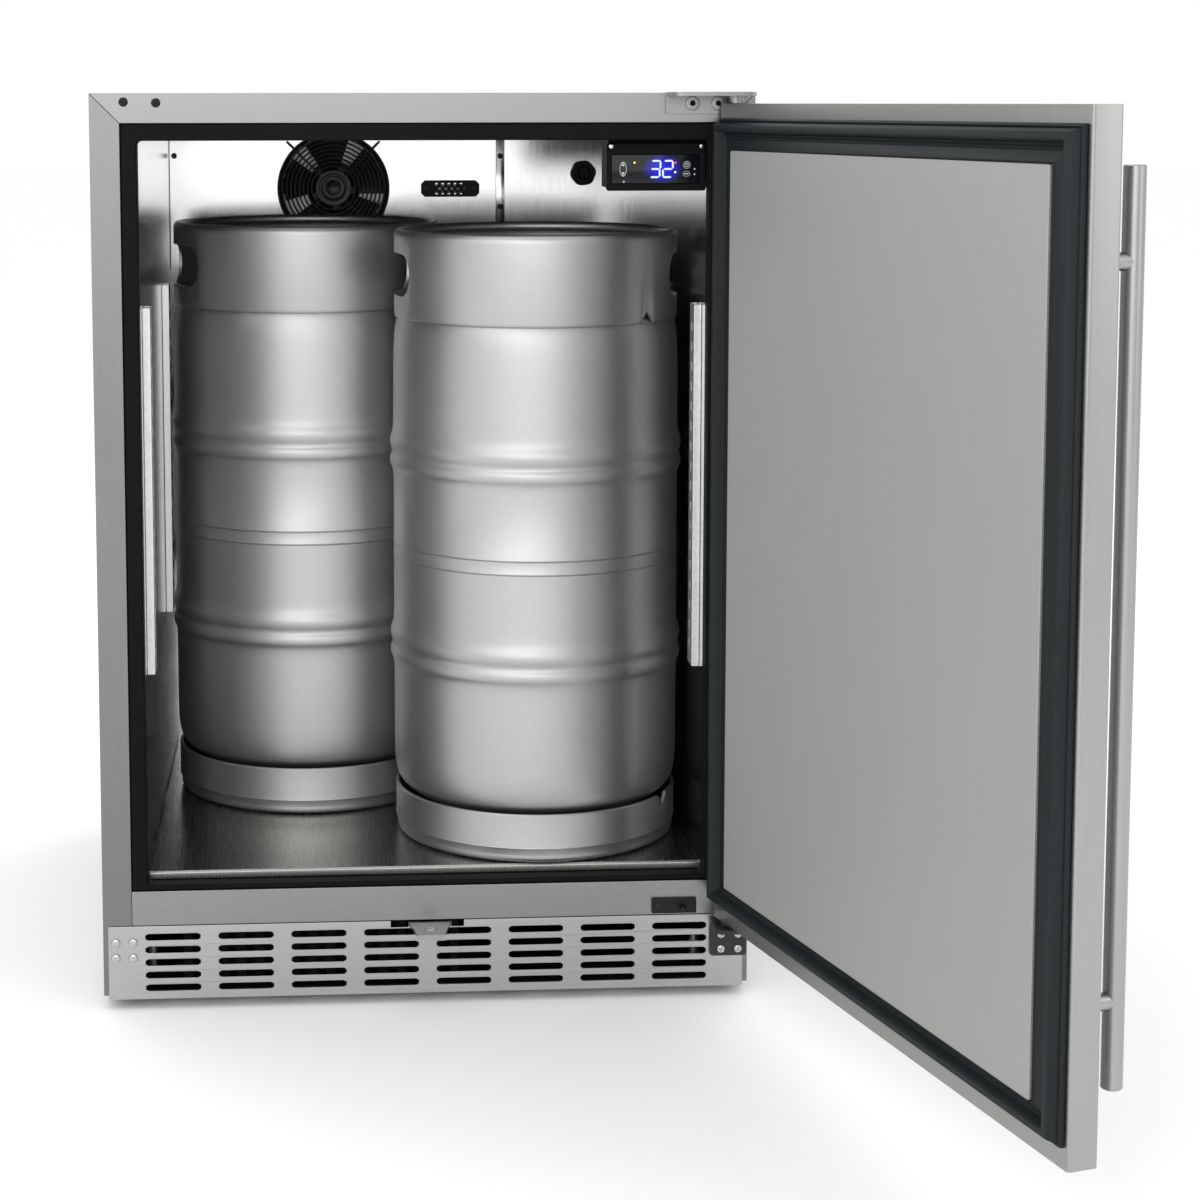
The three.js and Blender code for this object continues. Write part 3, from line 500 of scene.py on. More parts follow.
# kegs, whose profiles give (radius, height) from the keg's own foot
keg = {
    # degrees from the right-hand side to a hand hole, against the clock from above
    "turns": {"keg_front": -1, "keg_rear": 192},
    "bodyRadius": 140, "hoopRadius": 143.4, "chimeRadius": 138.6, "height": 597,
    "hoopHeights": (189, 379), "seamHeight": 284.5, "seamHalf": 6.5, "steps": 128,
    # the hand hole's cutter: its low and high corners and the radius of its edges
    "handHole": ((110, -60, 533), (160, 60, 574), 18),
    # each drain notch: degrees from the hand hole, height of its base, width, depth, 1 if it points up
    "collarDrain": (-44, 511.6, 20, 11, 1), "footDrain": (-30, 48, 19, 10.4, -1), "drainReach": 30,
}


def hoopProfile(height):
    body, crest = keg["bodyRadius"], keg["hoopRadius"]
    return [
        (body - 0.2, height - 34), (body, height - 24), (body + 0.8, height - 17),
        (crest, height - 12), (crest, height - 6), (crest - 2.6, height - 1),
        (crest - 0.2, height + 6), (crest, height + 12), (body + 0.6, height + 20), (body, height + 30),
    ]


def seamProfile():
    body, middle, half = keg["bodyRadius"], keg["seamHeight"], keg["seamHalf"]
    lines = []
    for edge in (middle - half, middle + half):
        lines += [(body, edge - 1.4), (body - 0.7, edge - 0.6),
                  (body + 0.5, edge + 0.3), (body, edge + 1.3)]
    return lines


def kegShell(name, centre):
    body = keg["bodyRadius"]
    bottom = [(0, 22), (70, 25), (112, 36), (134, 50), (body - 0.6, 66), (body - 0.2, 100)]
    top = [(body - 0.2, 470), (body - 1.4, 500), (134, 516), (116, 531), (80, 539), (34, 545)]
    neck = [(31, 548), (31, 556), (27, 557), (26.8, 548), (0, 547)]
    lower, upper = (hoopProfile(height) for height in keg["hoopHeights"])
    profile = softened(bottom + lower) + seamProfile() + softened(upper + top) + neck
    return addTurned(name, profile, keg["steps"], centre)


def drainCutter(drain, turn):
    # a three-sided bar lying along the radius, as wide and tall as the notch
    offset, base, width, tall, point = keg[drain]
    radius = width / math.sqrt(3)
    deselectAll()
    bpy.ops.mesh.primitive_cylinder_add(vertices=3, radius=radius * mm, depth=keg["drainReach"] * mm)
    bar = bpy.context.object
    bar.scale = (1, tall / (1.5 * radius), 1)
    settle(bar)
    height = base + point * tall / 3
    lying = turned(90 * point, "X") @ turned(90, "Y")
    place(bar, turned(turn + offset, "Z") @ moved((keg["chimeRadius"], 0, height)) @ lying)
    return bar


def kegCollar(name, centre, turn):
    chime = keg["chimeRadius"]
    rim = keg["height"]
    wall = [(chime - 0.9, 511), (chime, 514), (chime, rim - 9)]
    roll = [(chime, rim - 5), (chime - 2, rim - 0.8), (chime - 5.2, rim), (chime - 9, rim - 2),
            (chime - 10, rim - 6.5), (chime - 7.5, rim - 9.5), (chime - 3.2, rim - 10)]
    inside = [(chime - 2.6, rim - 13), (chime - 2.6, 515), (chime - 3.4, 511)]
    profile = wall + softened(roll) + inside
    ring = addTurned(name, profile + profile[:1], keg["steps"])
    holeLow, holeHigh, corner = keg["handHole"]
    for side in (0, 180):
        hole = addBlock("gripCutter", holeLow, holeHigh, corner, 6)
        place(hole, turned(turn + side, "Z"))
        cutAway(ring, hole)
    cutAway(ring, drainCutter("collarDrain", turn))
    roundEdges(ring, 0.5, 50)
    place(ring, moved(centre))
    return ring


def kegFootRing(name, centre, turn):
    chime = keg["chimeRadius"]
    roll = [(chime - 11, 3.4), (chime - 9, 0.6), (chime - 5, 0), (chime - 1.6, 3), (chime - 1.6, 8)]
    outside = [(chime - 0.2, 13.4), (chime + 0.3, 14.7), (chime, 16.4), (chime, 46), (chime - 1, 47.6)]
    inside = [(chime - 3, 47.6), (chime - 3, 18), (chime - 4.6, 10), (chime - 9, 5.5)]
    profile = softened(roll) + outside + inside
    ring = addTurned(name, profile + profile[:1], keg["steps"])
    cutAway(ring, drainCutter("footDrain", turn))
    roundEdges(ring, 0.4, 50)
    place(ring, moved(centre))
    return ring


def kegValve(name, centre):
    lug = [(26.4, 545), (26.4, 557), (30, 557.6), (30, 565), (28.5, 567.4), (24.4, 567.4), (23.4, 565)]
    well = [(22.6, 556), (13, 556), (12, 562), (9.4, 562.6), (8, 559), (5, 561.5), (0, 562.4)]
    return addTurned(name, lug + well, 64, centre)


for name, turn in keg["turns"].items():
    body = name.replace("keg_", "") + "_keg"
    middle = middleOf(name + "_shell")
    centre = (middle.x, middle.y, lowOf(name + "_foot_ring").z)
    made = {
        "shell": kegShell(name + "_vessel", centre),
        "collar": kegCollar(name + "_top_chime", centre, turn),
        "foot_ring": kegFootRing(name + "_bottom_chime", centre, turn),
        "valve": kegValve(name + "_valve_neck", centre),
    }
    for part, piece in made.items():
        smooth(piece, 28)
        dress(piece, steels["keg"], body, [f"{name}_{part}"])
print("kegs made")

# door handle
handle = {
    # offset is from the hinge's axis on the shut door, and heights are from the floor
    "radius": 8.2, "offset": (-552.5, -50), "low": 123.8, "high": 800.6, "easing": 0.9,
    "postHeights": {"upper": 732, "lower": 190.4}, "postRadius": 6.8, "footRadius": 9, "doorFace": -18.5,
    "saddleGap": 0.15, "saddleLength": 80,
}


def handleBar():
    radius, low, high, easing = handle["radius"], handle["low"], handle["high"], handle["easing"]
    profile = [(0, low), (radius - easing, low), (radius, low + easing),
               (radius, high - easing), (radius - easing, high), (0, high)]
    bar = addTurned("handle_tube", profile, 64)
    place(bar, swing @ moved((*handle["offset"], 0)))
    return bar


def handlePost(name, height):
    radius, foot = handle["postRadius"], handle["footRadius"]
    reach = handle["doorFace"] - handle["offset"][1]
    profile = [(0, 0), (foot, 0), (foot, 1.6), (foot - 0.8, 2.6), (radius, 3.2), (radius, reach - 5.5),
               (radius + 0.8, reach - 3), (radius - 1, reach - 0.5), (0, reach - 0.5)]
    post = addTurned(name, profile, 48, (handle["offset"][0], handle["doorFace"], height), front=True)
    deselectAll()
    bpy.ops.mesh.primitive_cylinder_add(
        vertices=64, radius=(handle["radius"] + handle["saddleGap"]) * mm, depth=handle["saddleLength"] * mm)
    saddle = bpy.context.object
    saddle.location = Vector((*handle["offset"], height)) * mm
    settle(saddle)
    cutAway(post, saddle)
    place(post, swing)
    return post


bar = handleBar()
smooth(bar, 40)
dress(bar, steels["doorSkin"], "door", ["handle_bar"])
for end, height in handle["postHeights"].items():
    post = handlePost(f"handle_post_{end}", height)
    smooth(post, 40)
    dress(post, steels["doorSkin"], "door", [f"handle_standoff_{end}"])
print("handle made")

# door gasket: a picture frame of nested insets, with a magnet bead and bellows
gasket = {
    # left, right, low and high side, from the hinge's axis on the shut door
    "outer": (-581, 11.5, 97.5, 830), "inner": (-545.8, -22.1, 119.6, 801.4), "seat": 7.9, "web": 0.5,
    # each step goes inwards, then up or down from the door
    "steps": ((0.5, 3.4), (1.4, 0.8), (1.6, -1.4), (0.8, 5.4), (1.6, 3.6), (5.2, 0.5), (1.4, -2.4),
              (0.7, -6.0), (1.4, 0.9), (1.1, -1.3), (1.3, 1.5), (1.1, -1.5), (1.3, 1.3)),
    "lip": ((0.9, 1.3), (0.5, -3.2)),
}


def makeGasket():
    left, right, low, high = gasket["outer"]
    deselectAll()
    bpy.ops.mesh.primitive_plane_add(size=1)
    piece = bpy.context.object
    piece.name = "gasket_bellows"
    piece.scale = ((right - left) * mm, (high - low) * mm, 1)
    piece.rotation_euler = (math.radians(-90), 0, 0)
    piece.location = Vector(((left + right) / 2, gasket["seat"], (low + high) / 2)) * mm
    settle(piece)
    editing(piece, action="SELECT")
    for inwards, out in gasket["steps"]:
        bpy.ops.mesh.inset(thickness=inwards * mm, depth=out * mm)
    # a flat web runs from the bellows to the inner lip beside the door's sheet
    bpy.ops.mesh.inset(thickness=gasket["web"] * mm, depth=0)
    leaveEdit()
    mesh = piece.data
    chosen = [polygon for polygon in mesh.polygons if polygon.select]
    corners = [mesh.vertices[corner].co for polygon in chosen for corner in polygon.vertices]
    across, up = [at.x for at in corners], [at.z for at in corners]
    reached = (min(across), max(across), min(up), max(up))
    margin = sum(inwards for inwards, out in gasket["lip"])
    level = corners[0].y
    bpy.ops.object.mode_set(mode="EDIT")
    # the web's inner edge is moved out to the lip, one side at a time
    for axis, spot, goal, way in zip("xxzz", reached, gasket["inner"], (-1, 1, -1, 1)):
        selectWhere(piece, "vertices", lambda at: abs(at.y - level) < nearby
                    and abs(getattr(at, axis) - spot) < nearby)
        shift = (goal + way * margin) * mm - spot
        bpy.ops.transform.translate(value=(shift, 0, 0) if axis == "x" else (0, 0, shift))
    selectWhere(piece, "polygons", lambda at: False)
    leaveEdit()
    biggest = max(piece.data.polygons, key=lambda polygon: polygon.area)
    biggest.select = True
    bpy.ops.object.mode_set(mode="EDIT")
    bpy.ops.mesh.select_mode(type="FACE")
    for inwards, out in gasket["lip"]:
        bpy.ops.mesh.inset(thickness=inwards * mm, depth=out * mm)
    bpy.ops.mesh.delete(type="FACE")
    bpy.ops.mesh.select_mode(type="EDGE")
    bpy.ops.mesh.select_all(action="DESELECT")
    bpy.ops.mesh.select_non_manifold()
    bpy.ops.mesh.bridge_edge_loops()
    leaveEdit()
    cleanUp(piece)
    place(piece, swing)
    return piece


gasketPiece = makeGasket()
roundEdges(gasketPiece, 0.25, 25)
smooth(gasketPiece, 40)
dress(gasketPiece, plains["gasket"], "door", ["door_gasket"])
print("gasket made")

# fan guard: wire rings on four bent spokes with a pressed hub
guard = {
    "rings": 9, "wire": 1.0, "hub": 19.5, "firstGap": 4.5, "outer": 61.8, "standsOff": 1.2,
    "spokes": 4, "spokeWire": 1.3, "spokeStart": 16, "spokeSet": 1.6,
    "mouthInner": 57.2, "mouthOuter": 61.2,
}


def makeGuard():
    low, high = lowOf("fan_guard"), highOf("fan_guard")
    middle = middleOf("fan_guard")
    front, hub = low.y + guard["standsOff"], guard["hub"]
    pieces = []
    first, last = hub + guard["firstGap"], guard["outer"] - guard["wire"]
    for ring in range(guard["rings"]):
        radius = first + (last - first) * ring / (guard["rings"] - 1)
        deselectAll()
        bpy.ops.mesh.primitive_torus_add(
            major_radius=radius * mm, minor_radius=guard["wire"] * mm, major_segments=72,
            minor_segments=10, location=Vector((middle.x, front, middle.z)) * mm,
            rotation=(math.radians(90), 0, 0))
        pieces.append(bpy.context.object)
        settle(pieces[-1])
    hubProfile = [(0, -1), (hub - 3.5, -1), (hub, 0), (hub, 0.8), (hub - 2.5, 1.4), (15.6, 0.6),
                  (13.6, 0.6), (12.8, 1.2), (8, 1.2), (7, 0.4), (0, 0.4)]
    pieces.append(addTurned("guardHub", hubProfile, 64, (middle.x, front, middle.z), front=True))
    for arm in range(guard["spokes"]):
        degrees = (arm + 0.5) * 360 / guard["spokes"]
        pieces.append(guardSpoke(middle, front, high.y, degrees))
    return joinAll(pieces, "fan_guard_wires")


def guardSpoke(middle, front, back, degrees):
    # a round bar is pulled out along the spoke, then bent back to its foot on the cover
    deselectAll()
    bpy.ops.mesh.primitive_circle_add(
        vertices=12, radius=guard["spokeWire"] * mm, fill_type="NGON",
        rotation=(0, math.radians(90), 0), location=(guard["spokeStart"] * mm, 0, 0))
    spoke = bpy.context.object
    settle(spoke)
    editing(spoke, action="SELECT")
    # each step goes outwards, then back
    path = ((47, 0), (3, 1), (1.6, 2.6), (3, back - front - 6.5), (2, 2))
    for along, backwards in path:
        bpy.ops.mesh.extrude_region_move(
            TRANSFORM_OT_translate={"value": (along * mm, backwards * mm, 0)})
    leaveEdit()
    cleanUp(spoke)
    place(spoke, moved((middle.x, front + guard["spokeSet"], middle.z)) @ turned(-degrees, "Y"))
    return spoke


def makeVenturi():
    # the fan's black mouth ring on the cover
    middle = middleOf("fan_guard")
    inner, outer = guard["mouthInner"], guard["mouthOuter"]
    ring = [(inner, 0.1), (inner, 1.6), (inner + 0.8, 2.2), (outer - 0.8, 1.6), (outer, 0.1)]
    front = lowOf("evaporator_cover").y
    return addTurned("fan_mouth_ring", ring + ring[:1], 96, (middle.x, front, middle.z), front=True)


venturi = makeVenturi()
smooth(venturi, 40)
dress(venturi, plains["blackPlastic"], "cabinet")
guardPiece = makeGuard()
smooth(guardPiece, 50)
dress(guardPiece, plains["blackPaint"], "cabinet", ["fan_guard"])
print("fan guard made")

# controller face
face = {
    "digitHeight": 15.0, "digitWidth": 8.4, "stroke": 1.7, "barGap": 0.3, "barTip": 0.12,
    "slant": 0.10, "raised": 0.15,
    "digitFoot": 775.4, "digitLefts": {"digit_three": 209, "digit_two": 220.5},
    "litBars": {"digit_three": ("top", "upperRight", "middle", "lowerRight", "bottom"),
                "digit_two": ("top", "upperRight", "middle", "lowerLeft", "bottom")},
    "glowMiddle": (220.6, 782.9), "glowReach": (19, 13.5), "glowCore": 0.15, "glowStrength": 0.8,
    "glowColour": (0.0, 0.01, 1.0), "lampRadius": 0.8,
    "lamps": {"led_left": ((194.4, 788.8), "amber"), "led_right_upper": ((232.6, 788.6), "red"),
              "led_right_lower": ((232.3, 779.9), "amber")},
    "markDepth": 0.3, "markEasing": 0.06,
}


def segmentBar(name, length, stroke):
    # one bar of a digit: a long hexagon, lying along x and facing the front
    half = length / 2 - face["barGap"]
    deselectAll()
    bpy.ops.mesh.primitive_plane_add(size=1)
    bar = bpy.context.object
    bar.name = name
    bar.scale = ((2 * half - stroke) * mm, stroke * mm, 1)
    bar.rotation_euler = (math.radians(90), 0, 0)
    settle(bar)
    editing(bar, "EDGE")
    for side in (-1, 1):
        selectWhere(bar, "edges", lambda at: at.x * side > nearby)
        bpy.ops.mesh.extrude_region_move(
            TRANSFORM_OT_translate={"value": (side * stroke / 2 * mm, 0, 0)})
        bpy.ops.transform.resize(value=(1, 1, face["barTip"]))
    bpy.ops.mesh.select_all(action="SELECT")
    bpy.ops.mesh.extrude_region_move(TRANSFORM_OT_translate={"value": (0, -face["raised"] * mm, 0)})
    leaveEdit()
    cleanUp(bar)
    return bar


def digit(name, front):
    left, low, lit = face["digitLefts"][name], face["digitFoot"], face["litBars"][name]
    width, height, stroke = face["digitWidth"], face["digitHeight"], face["stroke"]
    middleX, side = left + width / 2, height / 2
    spots = {
        "top": (middleX, low + height, 0), "middle": (middleX, low + side, 0), "bottom": (middleX, low, 0),
        "upperLeft": (left, low + 1.5 * side, 90), "upperRight": (left + width, low + 1.5 * side, 90),
        "lowerLeft": (left, low + 0.5 * side, 90), "lowerRight": (left + width, low + 0.5 * side, 90),
    }
    level, upright = segmentBar("levelBar", width, stroke), segmentBar("uprightBar", side, stroke)
    bars = []
    for spot in lit:
        x, z, turn = spots[spot]
        lean = (z - low) * face["slant"]
        bar = copyOf(upright if turn else level, name + spot)
        place(bar, moved((x + lean, front, z)) @ turned(-turn, "Y"))
        bars.append(bar)
    for pattern in (level, upright):
        bpy.data.objects.remove(pattern, do_unlink=True)
    return joinAll(bars, name)


def flatMark(name, corners, radius, centre, front, turn=0):
    # a small flat mark, such as a disc or triangle, a hair proud of its face
    deselectAll()
    bpy.ops.mesh.primitive_cylinder_add(vertices=corners, radius=radius * mm, depth=face["markDepth"] * mm)
    mark = bpy.context.object
    mark.name = name
    place(mark, moved((centre[0], front, centre[1])) @ turned(turn, "Y") @ turned(90, "X"))
    editing(mark, action="SELECT")
    bpy.ops.mesh.bevel(offset=face["markEasing"] * mm, segments=1)
    leaveEdit()
    return mark


def ringMark(name, radius, wire, centre, front, stretch=1):
    # a printed ring, flattened towards the window; stretch makes it an oval
    deselectAll()
    bpy.ops.mesh.primitive_torus_add(major_radius=radius * mm, minor_radius=wire * mm, major_segments=48,
                                     minor_segments=8, rotation=(math.radians(90), 0, 0))
    ring = bpy.context.object
    ring.name = name
    settle(ring)
    ring.scale = (1, 0.5, stretch)
    settle(ring)
    place(ring, moved((centre[0], front, centre[1])))
    return ring


def barMark(name, low, high, front):
    return addBlock(name, (low[0], front - 0.15, low[1]), (high[0], front + 0.1, high[1]), 0.05, 1)


def addGlow(material):
    # the window glows blue close round the digits
    tree = material.node_tree
    shader = tree.nodes["Principled BSDF"]
    (middleX, middleZ), (reachX, reachZ) = face["glowMiddle"], face["glowReach"]
    vector = objectCoordinates(tree, (1 / (reachX * mm), 0, 1 / (reachZ * mm)),
                               (-middleX / reachX, 0, -middleZ / reachZ))
    distance = addNode(tree, "ShaderNodeVectorMath", operation="LENGTH")
    tree.links.new(vector, distance.inputs[0])
    fading = spread(tree, distance.outputs["Value"], face["glowStrength"], 0, face["glowCore"], 1)
    tree.links.new(fading, shader.inputs["Emission Strength"])
    shader.inputs["Emission Color"].default_value = (*face["glowColour"], 1)


addGlow(plains["window"])
glass = addBlock("controller_glass", lowOf("controller_window"), highOf("controller_window"), 0.8, 3)
smooth(glass, 40)
dress(glass, plains["window"], "cabinet", ["controller_window"])
glassFront = lowOf("controller_window").y
digits = [digit(name, glassFront) for name in face["digitLefts"]]
for piece in digits:
    dress(piece, lamps["digits"], "cabinet")
for name, (spot, colour) in face["lamps"].items():
    dress(flatMark(name, 20, face["lampRadius"], spot, glassFront), lamps[colour], "cabinet")
# the printed marks are dressed in the faintly glowing print, a painted highlight
prints = [
    ringMark("key_oval_left", 3.0, 0.2, (183.8, 782.8), glassFront, 2.1),
    flatMark("arrow_up", 3, 1.7, (183.8, 786.6), glassFront),
    flatMark("arrow_down", 3, 1.7, (183.8, 779.0), glassFront, 180),
    ringMark("key_power", 1.6, 0.22, (243.1, 786.6), glassFront),
    ringMark("key_power_border", 3.2, 0.16, (243.1, 786.6), glassFront),
    ringMark("key_lower_border", 3.2, 0.16, (242.8, 778.4), glassFront, 0.75),
    barMark("key_power_bar", (242.9, 786.8), (243.3, 789.2), glassFront),
    barMark("key_lower_bar", (241.0, 778.0), (244.6, 778.8), glassFront),
    flatMark("small_mark_left", 6, 0.9, (184.4, 771.2), glassFront),
    flatMark("small_mark_upper", 6, 0.8, (250.3, 782.8), glassFront),
    flatMark("small_mark_lower", 6, 0.8, (250.3, 778.0), glassFront),
]
dress(joinAll(prints, "controller_print"), lamps["print"], "cabinet")
print("controller face made")

# the cover's folded flange on the rear wall, and a thin black strip in the seam under the floor: painted shade
# that hides the foam and stands in for the dark of the gap
flange = {"left": 99.2, "right": 108.8, "setBack": 2.2, "thick": 3, "below": 1}
coverLow, coverHigh = lowOf("evaporator_cover"), highOf("evaporator_cover")
flangeFront = coverLow.y + flange["setBack"]
flangePiece = addBlock("cover_flange", (flange["left"], flangeFront, coverLow.z),
                       (flange["right"], flangeFront + flange["thick"], coverHigh.z - flange["below"]), 0.5)
smooth(flangePiece, 40)
dress(flangePiece, steels["bright"], "cabinet")
# the seam strip is painted shade: a black sheet where the gap under the floor is dark
seam = {"half": 261, "low": 114, "high": 118, "front": 0.06, "back": 0.34}
breakerBack = highOf("breaker_frame").y
strip = addBlock("floor_seam_strip", (-seam["half"], breakerBack + seam["front"], seam["low"]),
                 (seam["half"], breakerBack + seam["back"], seam["high"]), 0.06, 1)
dress(strip, plains["breaker"], "cabinet")
print("flange and seam strip made")

# the six-sided plug where the beer line passes
plug = {"radius": 15.4, "turn": 22, "corner": 4.5, "bore": 7, "depth": 3.4, "easing": 0.9}


def linePlug():
    long = highOf("line_grommet").y - lowOf("line_grommet").y
    deselectAll()
    bpy.ops.mesh.primitive_cylinder_add(vertices=6, radius=plug["radius"] * mm, depth=long * mm)
    piece = bpy.context.object
    piece.name = "line_plug"
    editing(piece, "EDGE")
    selectWhere(piece, "edges", lambda at: abs(at.z) < 0.1 * mm)
    bpy.ops.mesh.bevel(offset=plug["corner"] * mm, segments=4)
    leaveEdit()
    deselectAll()
    bpy.ops.mesh.primitive_cylinder_add(
        vertices=40, radius=plug["bore"] * mm, depth=plug["depth"] * 2 * mm,
        location=(0, 0, long / 2 * mm))
    cutAway(piece, bpy.context.object)
    roundEdges(piece, plug["easing"], 50, 3)
    place(piece, moved(middleOf("line_grommet")) @ turned(plug["turn"], "Y") @ turned(90, "X"))
    return piece


plugPiece = linePlug()
smooth(plugPiece, 35)
dress(plugPiece, plains["blackPlastic"], "cabinet", ["line_grommet"])
print("line plug made")

# screws
screw = {"steps": 32, "crossWidth": 0.22, "crossReach": 0.62, "crossDepth": 0.45, "turn": 18}


def makeScrew(name, radius, height):
    # a pan head seen from the front, with a cross recess
    head = [(0, -0.4), (radius, -0.4), (radius, height * 0.35), (radius * 0.86, height * 0.8),
            (radius * 0.5, height), (0, height * 1.06)]
    piece = addTurned(name, head, screw["steps"], front=True)
    reach, wide = radius * screw["crossReach"], radius * screw["crossWidth"] / 2
    deep = height * (1 - screw["crossDepth"])
    for across, up in ((reach, wide), (wide, reach)):
        slot = addBlock("crossCutter", (-across, -height * 2, -up), (across, -deep, up), wide * 0.3, 1)
        cutAway(piece, slot)
    smooth(piece, 35)
    place(piece, turned(screw["turn"], "Y"))
    return piece


kickFront = lowOf("kick_plate").y
hingeFront = kickFront - 3.8  # the lower hinge's leg lies on the toe plate
ventFront = lowOf("vent_plate").y
bezelFront = lowOf("controller_housing").y
switchFront = lowOf("door_switch_housing").y + 1.9  # the plate lies behind the nose
rearFace = highOf("rear_panel").y
screwGroups = {
    "plug": {"material": plains["blackPlastic"], "radius": 4.2, "height": 2.4,
             "at": [(-272.6, 0, 845.1), (-243.4, 0, 844.3)]},
    "toe": {"material": steels["bright"], "radius": 4.4, "height": 2.4,
            "at": [(x, kickFront, z) for x in (-291.8, -275.8) for z in (63.7, 49.1)]},
    "hinge": {"material": steels["bright"], "radius": 4.0, "height": 2.2,
              "at": [(x, hingeFront, z) for x in (277.3, 293.5) for z in (61.1, 46.8)]},
    "cover": {"material": plains["blackPaint"], "radius": 3.2, "height": 1.8,
              "at": [(-256, coverLow.y, 786), (104, flangeFront, 785), (104, flangeFront, 729)]},
    "vent": {"material": plains["blackPaint"], "radius": 2.2, "height": 1.2,
             "at": [(21.6, ventFront, 749.2), (74.6, ventFront, 749.2)]},
    "bezel": {"material": steels["bright"], "radius": 2.3, "height": 1.1,
              "at": [(172.5, bezelFront, 803.9), (256.8, bezelFront, 803.9)]},
    "switch": {"material": plains["blackPaint"], "radius": 2.0, "height": 1.0,
               "at": [(217.5, switchFront, 88.4)]},
    "rear": {"material": steels["keg"], "radius": 3.6, "height": 1.9, "turn": 180,
             "at": [(x, rearFace, z) for x in (-290, -145, 145, 290) for z in (36, 838)]
                   + [(x, rearFace, z) for x in (-292, 292) for z in (236, 436, 636)]},
}
for group, made in screwGroups.items():
    pattern = makeScrew(group + "_pattern", made["radius"], made["height"])
    for count, spot in enumerate(made["at"], 1):
        copy = copyOf(pattern, f"screw_{group}_{count}")
        place(copy, moved(spot) @ turned(made.get("turn", 0), "Z"))
        dress(copy, made["material"], "cabinet")
    bpy.data.objects.remove(pattern, do_unlink=True)
print("cross-head screws made")

# the socket screws of the top hinge, with a disc of painted shade deep in each key hole
socket = {"spots": ((244.7, 843.4), (268.5, 843.4)), "legFront": -3.2, "clearRadius": 7.5,
          "headRadius": 6.6, "headHeight": 1.8, "keyRadius": 2.9, "keyDepth": 1.5, "shadeDiscDepth": 0.6,
          "shadeDiscRadius": 2.8}


def plainHeadsOff(piece):
    # the drawn heads are taken off the hinge leg and their holes filled, for the socket screws
    front = socket["legFront"] - 0.1
    editing(piece)
    selectWhere(piece, "polygons", lambda at: at.y < front * mm and any(
        math.hypot(at.x / mm - x, at.z / mm - z) < socket["clearRadius"] for x, z in socket["spots"]))
    bpy.ops.mesh.delete(type="FACE")
    bpy.ops.mesh.select_mode(type="EDGE")
    bpy.ops.mesh.select_non_manifold()
    bpy.ops.mesh.fill_holes(sides=0)
    leaveEdit()
    cleanUp(piece)


def socketScrew(name, spot):
    radius, height = socket["headRadius"], socket["headHeight"]
    profile = [(0, -0.3), (radius - 0.2, -0.3), (radius, 0.2), (radius, height - 0.6),
               (radius - 0.5, height - 0.1), (radius - 1.7, height), (0, height)]
    piece = addTurned(name, profile, 40, front=True)
    deselectAll()
    bpy.ops.mesh.primitive_cylinder_add(
        vertices=6, radius=socket["keyRadius"] * mm, depth=socket["keyDepth"] * 2 * mm,
        rotation=(math.radians(90), 0, 0), location=(0, -height * mm, 0))
    key = bpy.context.object
    settle(key)
    cutAway(piece, key)
    smooth(piece, 35)
    place(piece, moved((spot[0], socket["legFront"], spot[1])))
    return piece


# a pressed hood over each slot of the rear panel
hood = {"half": 53.5, "out": 2.6, "lip": 0.6, "tall": 6.5, "above": 4.7, "pitch": 22, "first": 90,
        "rows": 7, "columns": (-120, 0)}


def makeHood():
    half, out, tall = hood["half"], hood["out"], hood["tall"]
    piece = addBlock("hood_pattern", (-half, -0.1, 0), (half, out, tall), 0.5)
    editing(piece, "VERT")
    selectWhere(piece, "vertices", lambda at: at.z > tall / 2 * mm and at.y > out / 2 * mm)
    bpy.ops.transform.translate(value=(0, (hood["lip"] - out) * mm, 0))
    leaveEdit()
    smooth(piece, 50)
    return piece


hoodPattern = makeHood()
for row in range(hood["rows"]):
    for column, across in enumerate(hood["columns"], 1):
        copy = copyOf(hoodPattern, f"louvre_hood_{row + 1}_{column}")
        height = hood["first"] + hood["pitch"] * row + hood["above"]
        place(copy, moved((across, rearFace, height)))
        dress(copy, plains["zinc"], "cabinet")
bpy.data.objects.remove(hoodPattern, do_unlink=True)
print("louvre hoods made")

plainHeadsOff(bpy.data.objects["top_hinge_bracket_eased"])
for count, spot in enumerate(socket["spots"], 1):
    dress(socketScrew(f"screw_top_hinge_{count}", spot), steels["level"], "cabinet")
    # a black disc on the floor of each key hole is painted shade, standing in for the dark inside the socket
    socketShadeDisc = flatMark(f"socket_floor_{count}", 6, socket["shadeDiscRadius"], spot,
                           socket["legFront"] - socket["shadeDiscDepth"])
    dress(socketShadeDisc, plains["shadowPaint"], "cabinet")
print("socket screws made")

# stage, light and camera
stage = {"floorSize": 60, "floorGap": 0.0005, "floorColour": (1.0, 1.0, 1.0), "floorShade": 0.985,
         "worldGlow": 1.0, "lightAim": (0.05, 0.1, 0.45)}  # sizes and places here are in metres
deselectAll()
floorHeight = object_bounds()[0].z - stage["floorGap"]
bpy.ops.mesh.primitive_plane_add(size=stage["floorSize"], location=(0, 0, floorHeight))
floor = bpy.context.object
floor.name = "studio_floor"
floorMaterial, floorTree, floorShader = newMaterial("paleFloor")
floorCloud = noise(floorTree, objectCoordinates(floorTree), scale=3, detail=2)
floorShadow = [channel * stage["floorShade"] for channel in stage["floorColour"]]
floorTree.links.new(blendColours(floorTree, floorCloud, floorShadow, stage["floorColour"]),
                    floorShader.inputs["Base Color"])
floorShader.inputs["Roughness"].default_value = 0.9
floor.data.materials.append(floorMaterial)

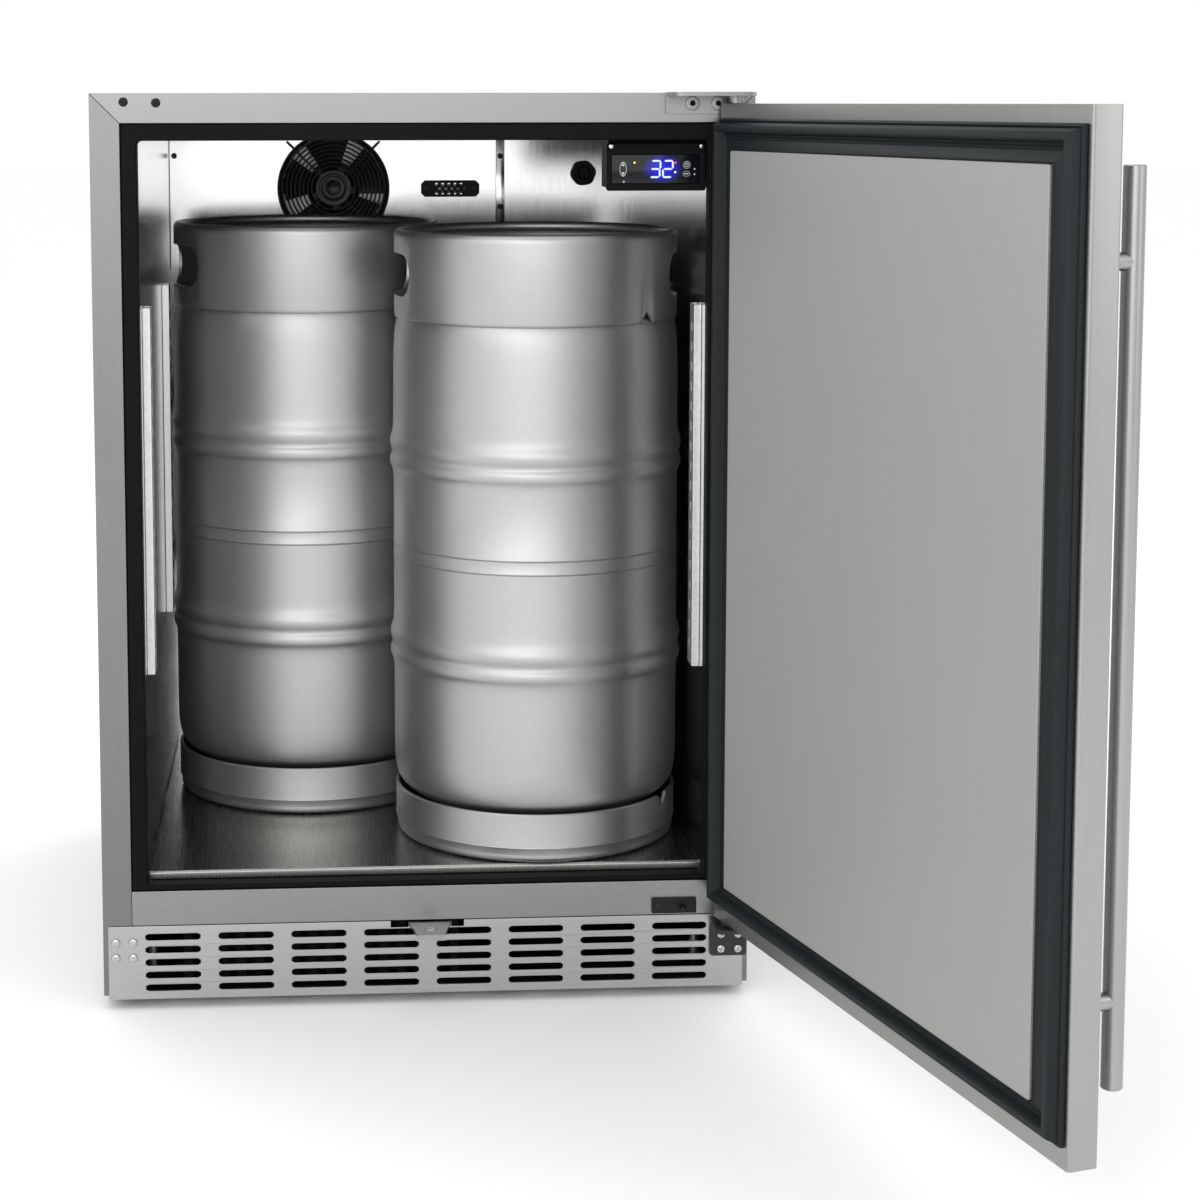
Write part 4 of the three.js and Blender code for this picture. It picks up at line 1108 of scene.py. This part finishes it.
world = bpy.data.worlds.new("studio")
bpy.context.scene.world = world
world.use_nodes = True
background = world.node_tree.nodes["Background"]
background.inputs["Color"].default_value = (1, 1, 1, 1)
background.inputs["Strength"].default_value = stage["worldGlow"]

softboxes = {  # places and sizes in metres, power in watts
    "key": {"at": (-1.7, -2.7, 2.1), "size": (2.6, 2.6), "power": 24},
    "fill": {"at": (2.6, -2.0, 1.5), "size": (1.2, 2.0), "power": 10},
    "front": {"at": (-0.3, -3.4, 1.3), "size": (2.4, 1.6), "power": 22},
    "top": {"at": (0.0, 0.4, 3.2), "size": (2.6, 2.0), "power": 10},
    "backLeft": {"at": (-2.2, 2.8, 1.9), "size": (1.4, 1.8), "power": 14},
    "backRight": {"at": (2.2, 2.9, 1.7), "size": (1.4, 1.8), "power": 10},
}
for name, box in softboxes.items():
    light = bpy.data.lights.new(name, "AREA")
    light.shape = "RECTANGLE"
    light.size, light.size_y = box["size"]
    light.energy = box["power"]
    lightObject = bpy.data.objects.new(name, light)
    bpy.context.scene.collection.objects.link(lightObject)
    lightObject.location = box["at"]
    aim = Vector(stage["lightAim"]) - Vector(box["at"])
    lightObject.rotation_euler = aim.to_track_quat("-Z", "Y").to_euler()

# place in metres, turns in degrees
viewpoint = {"at": (-0.0954, -2.2706, 0.8456), "yaw": -3.6607, "pitch": -5.9489, "roll": 0.0685,
             "lens": 74.555, "sensor": 36, "shift": (0.1, -0.2), "clip": (0.05, 100)}
cameraData = bpy.data.cameras.new("viewpoint")
cameraData.lens = viewpoint["lens"]
cameraData.sensor_width = viewpoint["sensor"]
cameraData.shift_x, cameraData.shift_y = viewpoint["shift"]
cameraData.clip_start, cameraData.clip_end = viewpoint["clip"]
camera = bpy.data.objects.new("viewpoint", cameraData)
bpy.context.scene.collection.objects.link(camera)
aimed = turned(viewpoint["yaw"], "Z") @ turned(viewpoint["pitch"], "X") @ turned(viewpoint["roll"], "Y")
camera.matrix_world = Matrix.Translation(viewpoint["at"]) @ aimed @ turned(90, "X")
bpy.context.scene.camera = camera
bpy.context.scene.view_settings.view_transform = "Standard"
print("stage set")
